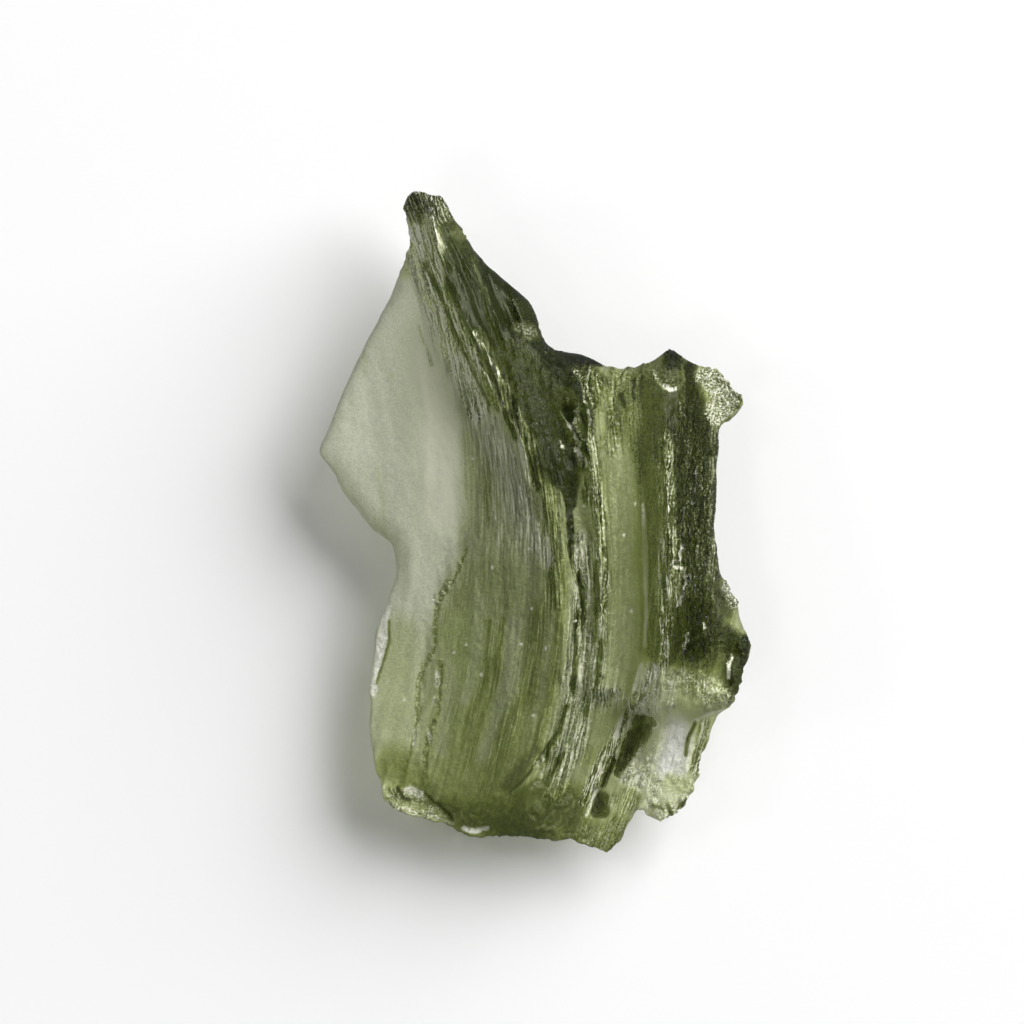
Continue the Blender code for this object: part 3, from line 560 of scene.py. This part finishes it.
PEAK_FOOT = [(652, 368, 9), (664, 378, 9), (676, 382, 8)]
PEAK_SCRATCH = [(650, 370, 1.5), (657, 384, 1.5), (664, 390, 1.5)]
PEAK_GLINT = [(664, 387, 1.8), (669, 391, 1.8), (674, 390, 1.8)]
KNOB_VALLEY = [(690, 368, 7), (696, 392, 7), (703, 428, 6), (706, 452, 4)]
KNOB = [(710, 378, 11), (728, 396, 14), (716, 414, 12)]
KNOB_LINES = ([(718, 372, 1.5), (720, 398, 1.5), (722, 412, 1.5)], [(724, 376, 1.5), (726, 392, 1.5)],
              [(730, 386, 1.5), (731, 408, 1.5)], [(737, 392, 1.5), (736, 410, 1.5)])
TOP_RIM = [(615, 372, 8), (645, 366, 8)]
BULGE_TOP = [(718, 594, 6), (724, 608, 8)]
BULGE_WHITE_TOP = [(727, 586, 7), (735, 601, 7)]
BULGE = [(718, 632, 12), (736, 648, 14), (732, 672, 13), (726, 690, 10)]
BULGE_EDGE = [(744, 640, 6), (742, 664, 6)]
BULGE_GLINTS = [(731, 655, 1.2), (727, 663, 1.4), (726, 677, 1.2)]
SHEEN = [(676, 676, 12), (696, 684, 15), (708, 692, 15), (722, 698, 11)]

# Partly the thick glass, partly painted shade on steep facets.
paint(THICK_SIDE, soft=0.35, shade=1.7, pale=0.06, fibre=0.4)
paint(OLIVE_BAND, soft=0.15, loose=0.3, shade=1.15, pale=0.12, fibre=0.4)
paint(STEP_LINE, loose=0.2, shade=0.25, pale=0.5, fibre=0.3)
# Partly painted highlights: white scatter along the band's fibres stands in for its glints.
paint(GLINTING_BAND, shade=0.9, pale=0.30, fibre=1.0, crumb=0.3)
# Painted shade on steep facets, over the thick glass's own darkness.
paint(NEAR_BLACK_SHADE_BAND, soft=0.3, shade=2.2, pale=0.14, fibre=0.9, crumb=1.0)
paint(BLACK_SHADE_LOW, soft=0.6, shade=3.0, pale=0.06, fibre=0.8, crumb=1.0)
paint(DARK_SEAM, shade=1.9, pale=0.06, fibre=0.8)
paint(THIN_EDGE, soft=0.3, loose=0.5, shade=1.5, pale=0.24, fibre=0.6)
paint(EDGE_LINE, loose=0.3, shade=2.6, pale=0.0)
paint(GLINT_TRAIL, loose=0.3, shade=0.1, pale=0.7, crumb=0.6)
for fleck in RIGHT_FLECKS:
    paint(fleck, loose=0.4, shade=0.3, pale=0.6, crumb=0.6)
paint(PEAK, shade=2.8, pale=0.06, fibre=0.4, crumb=1.0)
paint(PEAK_FOOT, shade=1.4, pale=0.22, crumb=1.0)
paint(PEAK_SCRATCH, loose=0.2, shade=0.9, pale=0.4)
paint(PEAK_GLINT, loose=0.0, shade=0.0, pale=1.0)
paint(KNOB_VALLEY, shade=2.4, pale=0.02, fibre=0.8)
paint(KNOB, soft=0.3, shade=1.15, pale=0.46, crumb=0.9)
for grain_line in KNOB_LINES:
    paint(grain_line, loose=0.6, shade=1.3, crumb=1.0)
paint(TOP_RIM, shade=0.9, pale=0.25, crumb=0.8)
paint(BULGE_TOP, shade=1.7, pale=0.2, crumb=0.8)
paint(BULGE_WHITE_TOP, soft=0.4, shade=1.5, pale=0.44, crumb=1.0)
paint(BULGE, soft=0.3, shade=2.4, pale=0.14, crumb=1.0)
paint(BULGE_EDGE, soft=0.5, shade=2.4, pale=0.0)
paint(BULGE_GLINTS, loose=0.2, shade=0.2, pale=0.7, crumb=0.8)
paint(SHEEN, soft=0.5, shade=0.50, pale=0.34, fibre=0.3, crumb=1.0)
print("painted right side, mean pale:", round(float(layers["pale"].mean()), 3))

# %% [markdown]
# ## The lower right
# Below a sharp ledge the stone is thin. A near-white smooth patch lies beside two dark pits, which are
# painted dark as painted shade, a scratched grey band runs obliquely down to the foot, and the last lobe
# has crumbled to bright grains.

# %% Lower right strokes
LOWER_RIGHT = [(650, 730, 34), (668, 770, 40), (660, 800, 30)]
SHEEN_LOW_PART = [(667, 676, 9), (667, 706, 9)]
STEP_FLOOR = [(650, 668, 7), (646, 690, 9), (646, 706, 10)]
STEP_LIGHT_LINE = [(640, 663, 1.5), (633, 689, 1.5)]
STEP_DARK_LINE = [(636, 664, 1.5), (629, 690, 1.5)]
LEDGE_RIGHT_LINE = [(733, 710, 1.5), (718, 712, 1.5), (709, 714, 2), (693, 721, 1.5)]
LEDGE_LEFT_LINE = [(633, 711, 1.5), (643, 714, 1.5), (655, 720, 1.5)]
PIT_CORNER_SHADES = ([(640, 723, 6), (651, 723, 4)], [(642, 730, 8), (634, 746, 10)],
                [(632, 742, 9), (618, 773, 4)])
CORNER_CRUMBS = [(656, 738, 6), (650, 752, 8), (642, 764, 6)]
GRAINY_GROUND = [(654, 760, 7), (640, 772, 9), (625, 778, 6), (655, 784, 11)]
WHITE_PATCH = [(678, 730, 12), (677, 745, 14), (670, 764, 14)]
RIM_STRIP = [(704, 724, 7), (700, 746, 8), (696, 768, 8)]
RIM_SHADOW = [(695, 723, 1.8), (688, 738, 1.8), (685, 755, 1.8)]
LOBE_TOP = [(676, 784, 8), (692, 784, 8)]
LOBE = [(652, 804, 8), (668, 814, 8), (682, 803, 8)]
LOBE_LINES = ([(654, 806, 1.5), (664, 810, 1.5)], [(668, 804, 1.5), (670, 816, 1.5)],
              [(678, 808, 1.5), (684, 800, 1.5)])
OBLIQUE_BAND = [(638, 696, 4), (626, 716, 5), (612, 742, 6), (600, 767, 7), (590, 786, 6), (583, 802, 4)]
OBLIQUE_CRACK = [(613, 760, 2), (602, 786, 2)]
LOWER_PIT_SHADE = [(601, 798, 7), (598, 810, 8), (605, 812, 6)]
PIT_GLINT = [(597, 791, 1.5), (591, 803, 1.5), (586, 816, 1.5)]
TAIL_RIDGE = [(615, 800, 6), (624, 806, 8), (630, 796, 8)]
TAIL = [(588, 834, 12), (606, 842, 14), (618, 826, 10)]
TAIL_SPOT = [(583, 826, 4)]

paint(LOWER_RIGHT, soft=0.3, shade=0.27, pale=0.38, crumb=0.4)
paint(SHEEN_LOW_PART, soft=0.7, shade=0.3, pale=0.38, fibre=0.3, crumb=0.8)
paint(STEP_FLOOR, soft=0.4, shade=0.2, pale=0.45, fibre=0.8, crumb=0.6)
paint(STEP_LIGHT_LINE, loose=0.2, shade=0.2, pale=0.6)
paint(STEP_DARK_LINE, soft=0.8, loose=0.2, shade=0.7)
paint(LEDGE_RIGHT_LINE, loose=0.2, shade=0.2, pale=0.6)
paint(LEDGE_LEFT_LINE, loose=0.2, shade=0.2, pale=0.6)
# Painted shade in the corners of a dark pit.
for pit_corner_shade in PIT_CORNER_SHADES:
    paint(pit_corner_shade, soft=0.3, loose=0.2, shade=1.9, pale=0.07, fibre=0.7, crumb=1.0)
paint(CORNER_CRUMBS, shade=0.35, pale=0.4, crumb=0.8)
paint(GRAINY_GROUND, shade=0.32, pale=0.42, fibre=0.4, crumb=1.0)
paint(WHITE_PATCH, soft=0.7, shade=0.0, pale=0.5, fibre=0.15, crumb=0.5)
paint(RIM_STRIP, soft=0.3, shade=1.1, pale=0.34, fibre=0.6)
paint(RIM_SHADOW, loose=0.2, shade=2.4, pale=0.0)
paint(LOBE_TOP, shade=0.45, pale=0.34, crumb=0.8)
paint(LOBE, shade=0.42, pale=0.48, crumb=1.0)
for crumb_edge in LOBE_LINES:
    paint(crumb_edge, loose=0.6, shade=1.8, pale=0.1)
paint(OBLIQUE_BAND, soft=0.4, shade=0.6, pale=0.4, fibre=1.0)
paint(OBLIQUE_CRACK, loose=0.4, shade=2.2, pale=0.0, fibre=1.0)
# Painted shade in the lower pit.
paint(LOWER_PIT_SHADE, soft=0.25, shade=2.3, pale=0.05, crumb=0.8)
paint(PIT_GLINT, loose=0.1, shade=0.0, pale=0.9)
paint(TAIL_RIDGE, shade=0.6, pale=0.28, fibre=0.6)
paint(TAIL, shade=1.0, pale=0.28, fibre=0.4, crumb=0.6)
paint(TAIL_SPOT, shade=0.5, pale=0.3, crumb=0.8)
print("painted lower right, mean pale:", round(float(layers["pale"].mean()), 3))

# %% [markdown]
# ## Foot and left edge
# The foot is thick, dark and finely grained. A crack and a lens-shaped smooth patch mark where a chip
# came off. The bottom left corner broke into small glossy chips, and thin flakes whiten the left edge.

# %% Foot and left edge strokes
FOOT = [(452, 812, 12), (478, 818, 18), (510, 822, 24), (542, 818, 26), (566, 806, 20), (572, 830, 12)]
SMOOTH_LENS = [(524, 796, 10), (538, 786, 9)]
FOOT_GLINT = [(535, 764, 3), (543, 757, 4)]
FOOT_CRACK = [(550, 742, 1.5), (530, 770, 1.5), (510, 790, 1.5)]
FOOT_SHADE = [(536, 748, 6), (520, 768, 6), (506, 784, 5)]
LEFT_CRACKS = ([(464, 548, 2), (456, 570, 2), (442, 594, 2.5), (434, 620, 2), (432, 648, 2), (425, 663, 2),
                (420, 684, 1.5), (418, 712, 1.5), (413, 733, 1.5), (407, 755, 1.5), (404, 773, 1.5)],
               [(440, 660, 2), (438, 712, 2), (427, 736, 2), (423, 773, 2), (424, 788, 2)])
LEFT_FLECKS = ([(433, 597, 2), (434, 602, 2)], [(431, 694, 1.5), (432, 704, 1.5)],
               [(436, 672, 2), (435, 684, 2)], [(428, 730, 2), (430, 742, 2)], [(414, 728, 2), (412, 744, 2)])
LEFT_FLAKE = [(387, 604, 4), (382, 640, 6), (377, 672, 5), (373, 694, 3)]
FLAKE_LINE = [(389, 620, 1.2), (390, 640, 1.2), (386, 655, 1.2), (381, 670, 1.2), (377, 684, 1.2)]
CORNER_CHIPS = [(391, 794, 8), (406, 797, 9), (420, 796, 8), (441, 810, 7), (453, 818, 4)]
BRIGHT_CHIP = [(409, 790, 4), (418, 794, 4)]
CHIP_EDGES = ([(398, 788, 1.5), (404, 798, 1.5), (410, 800, 1.5)],
              [(424, 794, 1.5), (440, 806, 1.5), (452, 820, 1.5)])
CHIP_RIM = [(388, 804, 3), (400, 809, 4), (430, 816, 4), (452, 824, 2)]
FOOT_WHITE_LINE = [(462, 829, 1.5), (475, 832, 2), (487, 829, 1.5)]

paint(FOOT, soft=0.7, shade=1.1, pale=0.12, crumb=0.9)
paint(SMOOTH_LENS, soft=0.3, shade=1.0, pale=0.15, fibre=0.1, crumb=0.3)
paint(FOOT_GLINT, loose=0.4, shade=0.6, pale=0.45, crumb=1.0)
paint(FOOT_CRACK, loose=0.4, shade=1.5, pale=0.1)
paint(FOOT_SHADE, soft=0.7, shade=1.3)
for crack in LEFT_CRACKS:
    paint(crack, soft=0.8, loose=0.8, shade=0.85, crumb=1.0)
for fleck in LEFT_FLECKS:
    paint(fleck, shade=0.2, pale=0.42, crumb=1.0)
paint(LEFT_FLAKE, soft=0.25, loose=0.5, shade=0.04, pale=0.62, crumb=0.4)
paint(FLAKE_LINE, loose=0.3, shade=1.0, pale=0.1)
paint(CORNER_CHIPS, shade=0.9, pale=0.34, crumb=1.0)
paint(BRIGHT_CHIP, shade=0.2, pale=0.6, crumb=1.0)
for chip_edge in CHIP_EDGES:
    paint(chip_edge, loose=0.4, shade=2.4, pale=0.0)
paint(CHIP_RIM, loose=0.5, shade=0.5, pale=0.45, crumb=1.0)
paint(FOOT_WHITE_LINE, loose=0.0, shade=0.0, pale=1.0)
print("painted foot, mean shade:", round(float(layers["shade"].mean()), 2))

# %% [markdown]
# ## Bubbles
# Gas was trapped in the melt. Bubbles that lie just under the skin show as tiny bright dots, painted white
# as painted highlights.

# %% Bubble dots
BUBBLES = [(487, 434), (500, 453), (473, 459), (634, 504), (531, 608), (623, 535), (630, 610), (545, 647),
           (466, 644), (533, 714), (454, 652), (404, 700), (521, 643), (481, 674), (492, 567), (529, 548),
           (583, 506), (576, 620)]
BUBBLE_HALF_WIDTH = 1.3

# Painted highlights: a white dot for each bubble.
for bubble_x, bubble_y in BUBBLES:
    paint([(bubble_x, bubble_y, BUBBLE_HALF_WIDTH)],
          soft=0.6, loose=0.0, shade=0.0, pale=0.9, fibre=0.0, crumb=0.0)
print("bubbles:", len(BUBBLES))

# %% [markdown]
# ## From paint to mesh data
# The relief layers become vertex groups, which limit the carving that follows. All layers go into two
# colour attributes that the glass reads: the tint is worked out here, because glass colour multiplies
# and so its darkness works as a power of a base colour. The tint holds the glass's own colour and the
# painted shade. Light glass is a fresh green and deep glass is closer to brown, so the powers change with
# the depth.

# %% Vertex groups and colour attributes
LIGHT_GLASS_POWER = np.array([1.20, 1.0, 2.60])
DEEP_GLASS_POWER = np.array([1.08, 1.0, 1.65])
DEEP_SHADES = (0.5, 1.5)
RIM_FADES = (0.1, 0.7)
RIM_FIBRE = 0.15
SPOT_FADES = (0.05, 0.5)
LEAST_WEIGHT = 0.01

normals = np.zeros(len(points) * 3)
stone.data.vertices.foreach_get("normal", normals)
off_rim = smooth_share(np.abs(normals.reshape(-1, 3)[:, 2]), *RIM_FADES)
off_spot = smooth_share(points[:, 2], *SPOT_FADES)
groups = {"fibre": layers["fibre"] * off_spot * (RIM_FIBRE + (1.0 - RIM_FIBRE) * off_rim),
          "bands": layers["fibre"] * off_spot * off_rim,
          "crumb": layers["crumb"] * off_spot,
          "all_but_spot": off_spot}
for name, weights in groups.items():
    group = stone.vertex_groups.new(name=name)
    for index in np.flatnonzero(weights > LEAST_WEIGHT):
        group.add([int(index)], float(weights[index]), "REPLACE")
deep = smooth_share(layers["shade"], *DEEP_SHADES)[:, None]
power = LIGHT_GLASS_POWER + (DEEP_GLASS_POWER - LIGHT_GLASS_POWER) * deep
tint = np.exp(-layers["shade"][:, None] * power)


def add_colours(name, colours):
    attribute = stone.data.color_attributes.new(name, "FLOAT_COLOR", "POINT")
    with_alpha = np.column_stack([colours, np.ones(len(colours))])
    attribute.data.foreach_set("color", with_alpha.ravel())


add_colours("tint", tint)
add_colours("surface", np.stack([layers["pale"], layers["fibre"], layers["crumb"]], axis=1))
print("groups:", {name: int((weights > 0.5).sum()) for name, weights in groups.items()})

# %% [markdown]
# ## Carving
# Each kind of relief is one Displace modifier with its own procedural texture and zone. On the Flow map
# a texture comes out combed, in object space it comes out as lumps. The modifiers are applied one after
# the other: first the combed ridges, striae and bands, then the crumbs and the grain.

# %% Carve with displacement


def carve(name, size, height, group, combed, **settings):
    """Carves cloudy noise of a height in mm. Its size is in mm of the Flow map if combed, else in metres."""
    texture = bpy.data.textures.new(name, "CLOUDS")
    texture.noise_scale = size
    for key, value in settings.items():
        setattr(texture, key, value)
    modifier = stone.modifiers.new(name, "DISPLACE")
    modifier.texture = texture
    modifier.strength = height * MM
    modifier.mid_level = 0.5
    modifier.vertex_group = group
    if combed:
        modifier.texture_coords = "UV"
        modifier.uv_layer = "Flow"
    else:
        modifier.texture_coords = "LOCAL"
    bpy.ops.object.modifier_apply(modifier=name)
    moved = read_points(stone.data)
    print(name, "box in mm:", np.round(moved.max(axis=0) - moved.min(axis=0), 2))


carve("flow ridges",
      size=0.45, height=0.30, group="fibre", combed=True, noise_type="HARD_NOISE", noise_depth=1)
carve("flow striae",
      size=0.20, height=0.16, group="fibre", combed=True, noise_type="HARD_NOISE", noise_depth=1)
carve("soft bands", size=0.9, height=0.16, group="bands", combed=True, noise_depth=2)
carve("crumbs",
      size=0.45 * MM, height=0.35, group="crumb", combed=False, noise_type="HARD_NOISE", noise_depth=2)
carve("grain", size=0.3 * MM, height=0.04, group="all_but_spot", combed=False, noise_depth=1)

# %% [markdown]
# ## Glass
# The colour sits inside the glass: a Volume Absorption shader takes away red and blue faster than green,
# so a thin wing stays pale and a thick crest goes dark. The painted tint, which holds the painted shade,
# and the white scatter sit on the surface. The white scatter is partly crushed glass and partly painted
# glints: bright fibres, specks and sparks. Its roughness and fine bump are combed along the flow. Its
# reflections are dimmed and slightly olive, because an etched skin mirrors less than polished glass does.

# %% Glass material
ABSORPTION_DENSITY = 150.0
ABSORPTION_COLOUR = (0.42, 0.50, 0.10, 1.0)
INDEX_OF_REFRACTION = 1.49
REFLECTION_TINT = (0.50, 0.53, 0.42, 1.0)
CRUSHED_AND_GLINT_WHITE = (0.84, 0.84, 0.71, 1.0)
STREAK_SIZE = (0.36, 6.0)
FIBRE_SIZE = (0.075, 2.0)
SPECK_SIZE = (0.055, 0.16)
GRAIN_PER_METRE = 11000.0
MOST_SCATTER = 0.9
LEAST_MARKS = 0.05
SCATTER_ROUGHNESS = 0.4
BUMP_DEPTH = 0.055 * MM
# How much of the dark fibres the glass takes where the fibre layer is full.
FIBRE_DARKNESS = 0.9
# The low and the high end of a pattern or layer, and what each end becomes.
DARK_FIBRES = (0.38, 0.60, 0.2, 1.45)
DARK_STREAKS = (0.35, 0.65, 0.76, 1.22)
DARK_GRAIN = (0.35, 0.65, 0.87, 1.13)
STREAKED_PART = (0.05, 0.3, 0.0, 1.0)
# Painted glints: where these patterns run high, white scatter stands in for light caught by fibres and
# specks.
FIBRE_GLINTS = (0.46, 0.64, -0.85, 1.7)
SPECK_GLINTS = (0.50, 0.66, -0.25, 1.5)
BRIGHT_GRAIN = (0.42, 0.6, -0.6, 0.9)
SPECKED_PART = (0.05, 0.8, 0.0, 1.0)
SPARK_GLINTS = (0.66, 0.75, 0.0, 0.6)
WHITENESS = (0.32, 0.8, 0.0, 0.9)
ROUGHNESS = (0.0, 1.0, 0.28, 0.10)
# How much a layer adds to the bump of its pattern, and how much there is without it.
FIBRE_BUMP = (1.3, 0.04)
SPECK_BUMP = (0.5, 0.06)
GRAIN_BUMP = (1.2, 0.12)


def add_node(tree, kind, place, **values):
    """A shader node with its settings and unlinked inputs filled in."""
    made = tree.nodes.new(kind)
    made.location = place
    for key, value in values.items():
        if key in made.inputs:
            made.inputs[key].default_value = value
        else:
            setattr(made, key, value)
    return made


def noise_on(tree, vector, place, size, detail):
    made = add_node(tree, "ShaderNodeTexNoise", place, Scale=size, Detail=detail)
    tree.links.new(vector, made.inputs["Vector"])
    return made.outputs["Fac"]


def combed_noise(tree, flow_map, place, size, detail):
    """Noise with features of a size in mm across and along the flow."""
    stretched = add_node(tree, "ShaderNodeMapping", (place[0] - 200, place[1]),
                         Scale=(1.0 / size[0], ALONG_SCALE / size[1], 1.0))
    tree.links.new(flow_map, stretched.inputs["Vector"])
    return noise_on(tree, stretched.outputs["Vector"], place, 1.0, detail)


def maths(tree, operation, place, *values):
    """One sum on numbers and sockets."""
    made = add_node(tree, "ShaderNodeMath", place, operation=operation)
    for socket, value in zip(made.inputs, values):
        if isinstance(value, (int, float)):
            socket.default_value = value
        else:
            tree.links.new(value, socket)
    return made.outputs["Value"]


def ranged(tree, value, place, low, high, to_low, to_high):
    made = add_node(tree, "ShaderNodeMapRange", place)
    for name, number in (("From Min", low), ("From Max", high), ("To Min", to_low), ("To Max", to_high)):
        made.inputs[name].default_value = number
    tree.links.new(value, made.inputs["Value"])
    return made.outputs["Result"]


def mixed(tree, operation, place, share, first, second):
    """One blend of two colours."""
    made = add_node(tree, "ShaderNodeMix", place, data_type="RGBA", blend_type=operation, clamp_result=True)
    for socket, value in zip((made.inputs[0], made.inputs[6], made.inputs[7]), (share, first, second)):
        if isinstance(value, (float, tuple)):
            socket.default_value = value
        else:
            tree.links.new(value, socket)
    return made.outputs[2]


def make_glass():
    glass = bpy.data.materials.new("moldavite_glass")
    glass.use_nodes = True
    tree = glass.node_tree
    shader = tree.nodes["Principled BSDF"]
    output = tree.nodes["Material Output"]
    shader.inputs["IOR"].default_value = INDEX_OF_REFRACTION
    shader.inputs["Specular Tint"].default_value = REFLECTION_TINT
    absorption = add_node(tree, "ShaderNodeVolumeAbsorption", (0, -400), Color=ABSORPTION_COLOUR,
                          Density=ABSORPTION_DENSITY)
    tree.links.new(absorption.outputs["Volume"], output.inputs["Volume"])

    flow_map = add_node(tree, "ShaderNodeUVMap", (-1600, 200), uv_map="Flow").outputs["UV"]
    here = add_node(tree, "ShaderNodeTexCoord", (-1600, -300)).outputs["Object"]
    tint_paint = add_node(tree, "ShaderNodeVertexColor", (-1600, 700), layer_name="tint").outputs["Color"]
    surface_paint = add_node(tree, "ShaderNodeVertexColor", (-1600, 500), layer_name="surface")
    surface = add_node(tree, "ShaderNodeSeparateColor", (-1400, 500))
    tree.links.new(surface_paint.outputs["Color"], surface.inputs["Color"])
    pale, fibre, crumb = [surface.outputs[name] for name in ("Red", "Green", "Blue")]

    streaks = combed_noise(tree, flow_map, (-1200, 300), STREAK_SIZE, detail=3.0)
    fibres = combed_noise(tree, flow_map, (-1200, 100), FIBRE_SIZE, detail=3.0)
    specks = combed_noise(tree, flow_map, (-1200, -100), SPECK_SIZE, detail=2.0)
    grain = noise_on(tree, here, (-1200, -300), GRAIN_PER_METRE, detail=2.0)

    dark_fibres = ranged(tree, fibres, (-900, 200), *DARK_FIBRES)
    dark_streaks = ranged(tree, streaks, (-900, 400), *DARK_STREAKS)
    fibre_share = maths(tree, "MULTIPLY", (-900, 600), fibre, FIBRE_DARKNESS)
    streak_share = ranged(tree, fibre, (-900, 800), *STREAKED_PART)
    dark_grain = ranged(tree, grain, (-900, 1000), *DARK_GRAIN)
    grained = mixed(tree, "MULTIPLY", (-750, 800), 1.0, tint_paint, dark_grain)
    streaked = mixed(tree, "MULTIPLY", (-600, 700), streak_share, grained, dark_streaks)
    combed = mixed(tree, "MULTIPLY", (-400, 600), fibre_share, streaked, dark_fibres)

    # Painted glints: bright fibres and specks whiten the scatter.
    fibre_glints = ranged(tree, fibres, (-900, 0), *FIBRE_GLINTS)
    speck_glints = ranged(tree, specks, (-900, -150), *SPECK_GLINTS)
    bright_grain = ranged(tree, grain, (-900, -300), *BRIGHT_GRAIN)
    speck_share = ranged(tree, fibre, (-900, -450), *SPECKED_PART)
    brightened = ((fibre_glints, fibre), (speck_glints, speck_share), (bright_grain, crumb))
    marks = 1.0
    for row, (pattern, share) in enumerate(brightened):
        marks = maths(tree, "MULTIPLY_ADD", (-700 + 120 * row, -100 * row), pattern, share, marks)
    marks = maths(tree, "MAXIMUM", (-400, 50), marks, LEAST_MARKS)
    scatter = maths(tree, "MULTIPLY", (-300, 100), pale, marks)
    # Painted glints: scattered sparks of white.
    spark_glints = ranged(tree, grain, (-500, -400), *SPARK_GLINTS)
    scatter = maths(tree, "MAXIMUM", (-250, 0), scatter, spark_glints)
    scatter = maths(tree, "MINIMUM", (-200, 50), scatter, MOST_SCATTER)
    white_share = ranged(tree, scatter, (-300, 300), *WHITENESS)
    colour = mixed(tree, "MIX", (-100, 500), white_share, combed, CRUSHED_AND_GLINT_WHITE)
    tree.links.new(colour, shader.inputs["Base Color"])
    clear = maths(tree, "SUBTRACT", (-100, 200), 1.0, scatter)
    tree.links.new(clear, shader.inputs["Transmission Weight"])

    polish = ranged(tree, fibre, (-500, -250), *ROUGHNESS)
    rough = maths(tree, "MULTIPLY_ADD", (-100, -100), scatter, SCATTER_ROUGHNESS, polish)
    tree.links.new(rough, shader.inputs["Roughness"])

    bumped = ((fibres, fibre, FIBRE_BUMP), (specks, fibre, SPECK_BUMP), (grain, crumb, GRAIN_BUMP))
    relief = 0.0
    for row, (pattern, share, (added, least)) in enumerate(bumped):
        depth = maths(tree, "MULTIPLY_ADD", (-700, -600 - 150 * row), share, added, least)
        relief = maths(tree, "MULTIPLY_ADD", (-500 + 120 * row, -600 - 150 * row), pattern, depth, relief)
    bump = add_node(tree, "ShaderNodeBump", (-100, -350), Strength=1.0, Distance=BUMP_DEPTH)
    tree.links.new(relief, bump.inputs["Height"])
    tree.links.new(bump.outputs["Normal"], shader.inputs["Normal"])
    return glass


stone.data.materials.append(make_glass())
print("material:", stone.data.materials[0].name)

# %% [markdown]
# ## Hand over
# The fine stone rides on the frame's one body and stands for its one solid.

# %% Finish
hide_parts("moldavite")
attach(stone, "root")
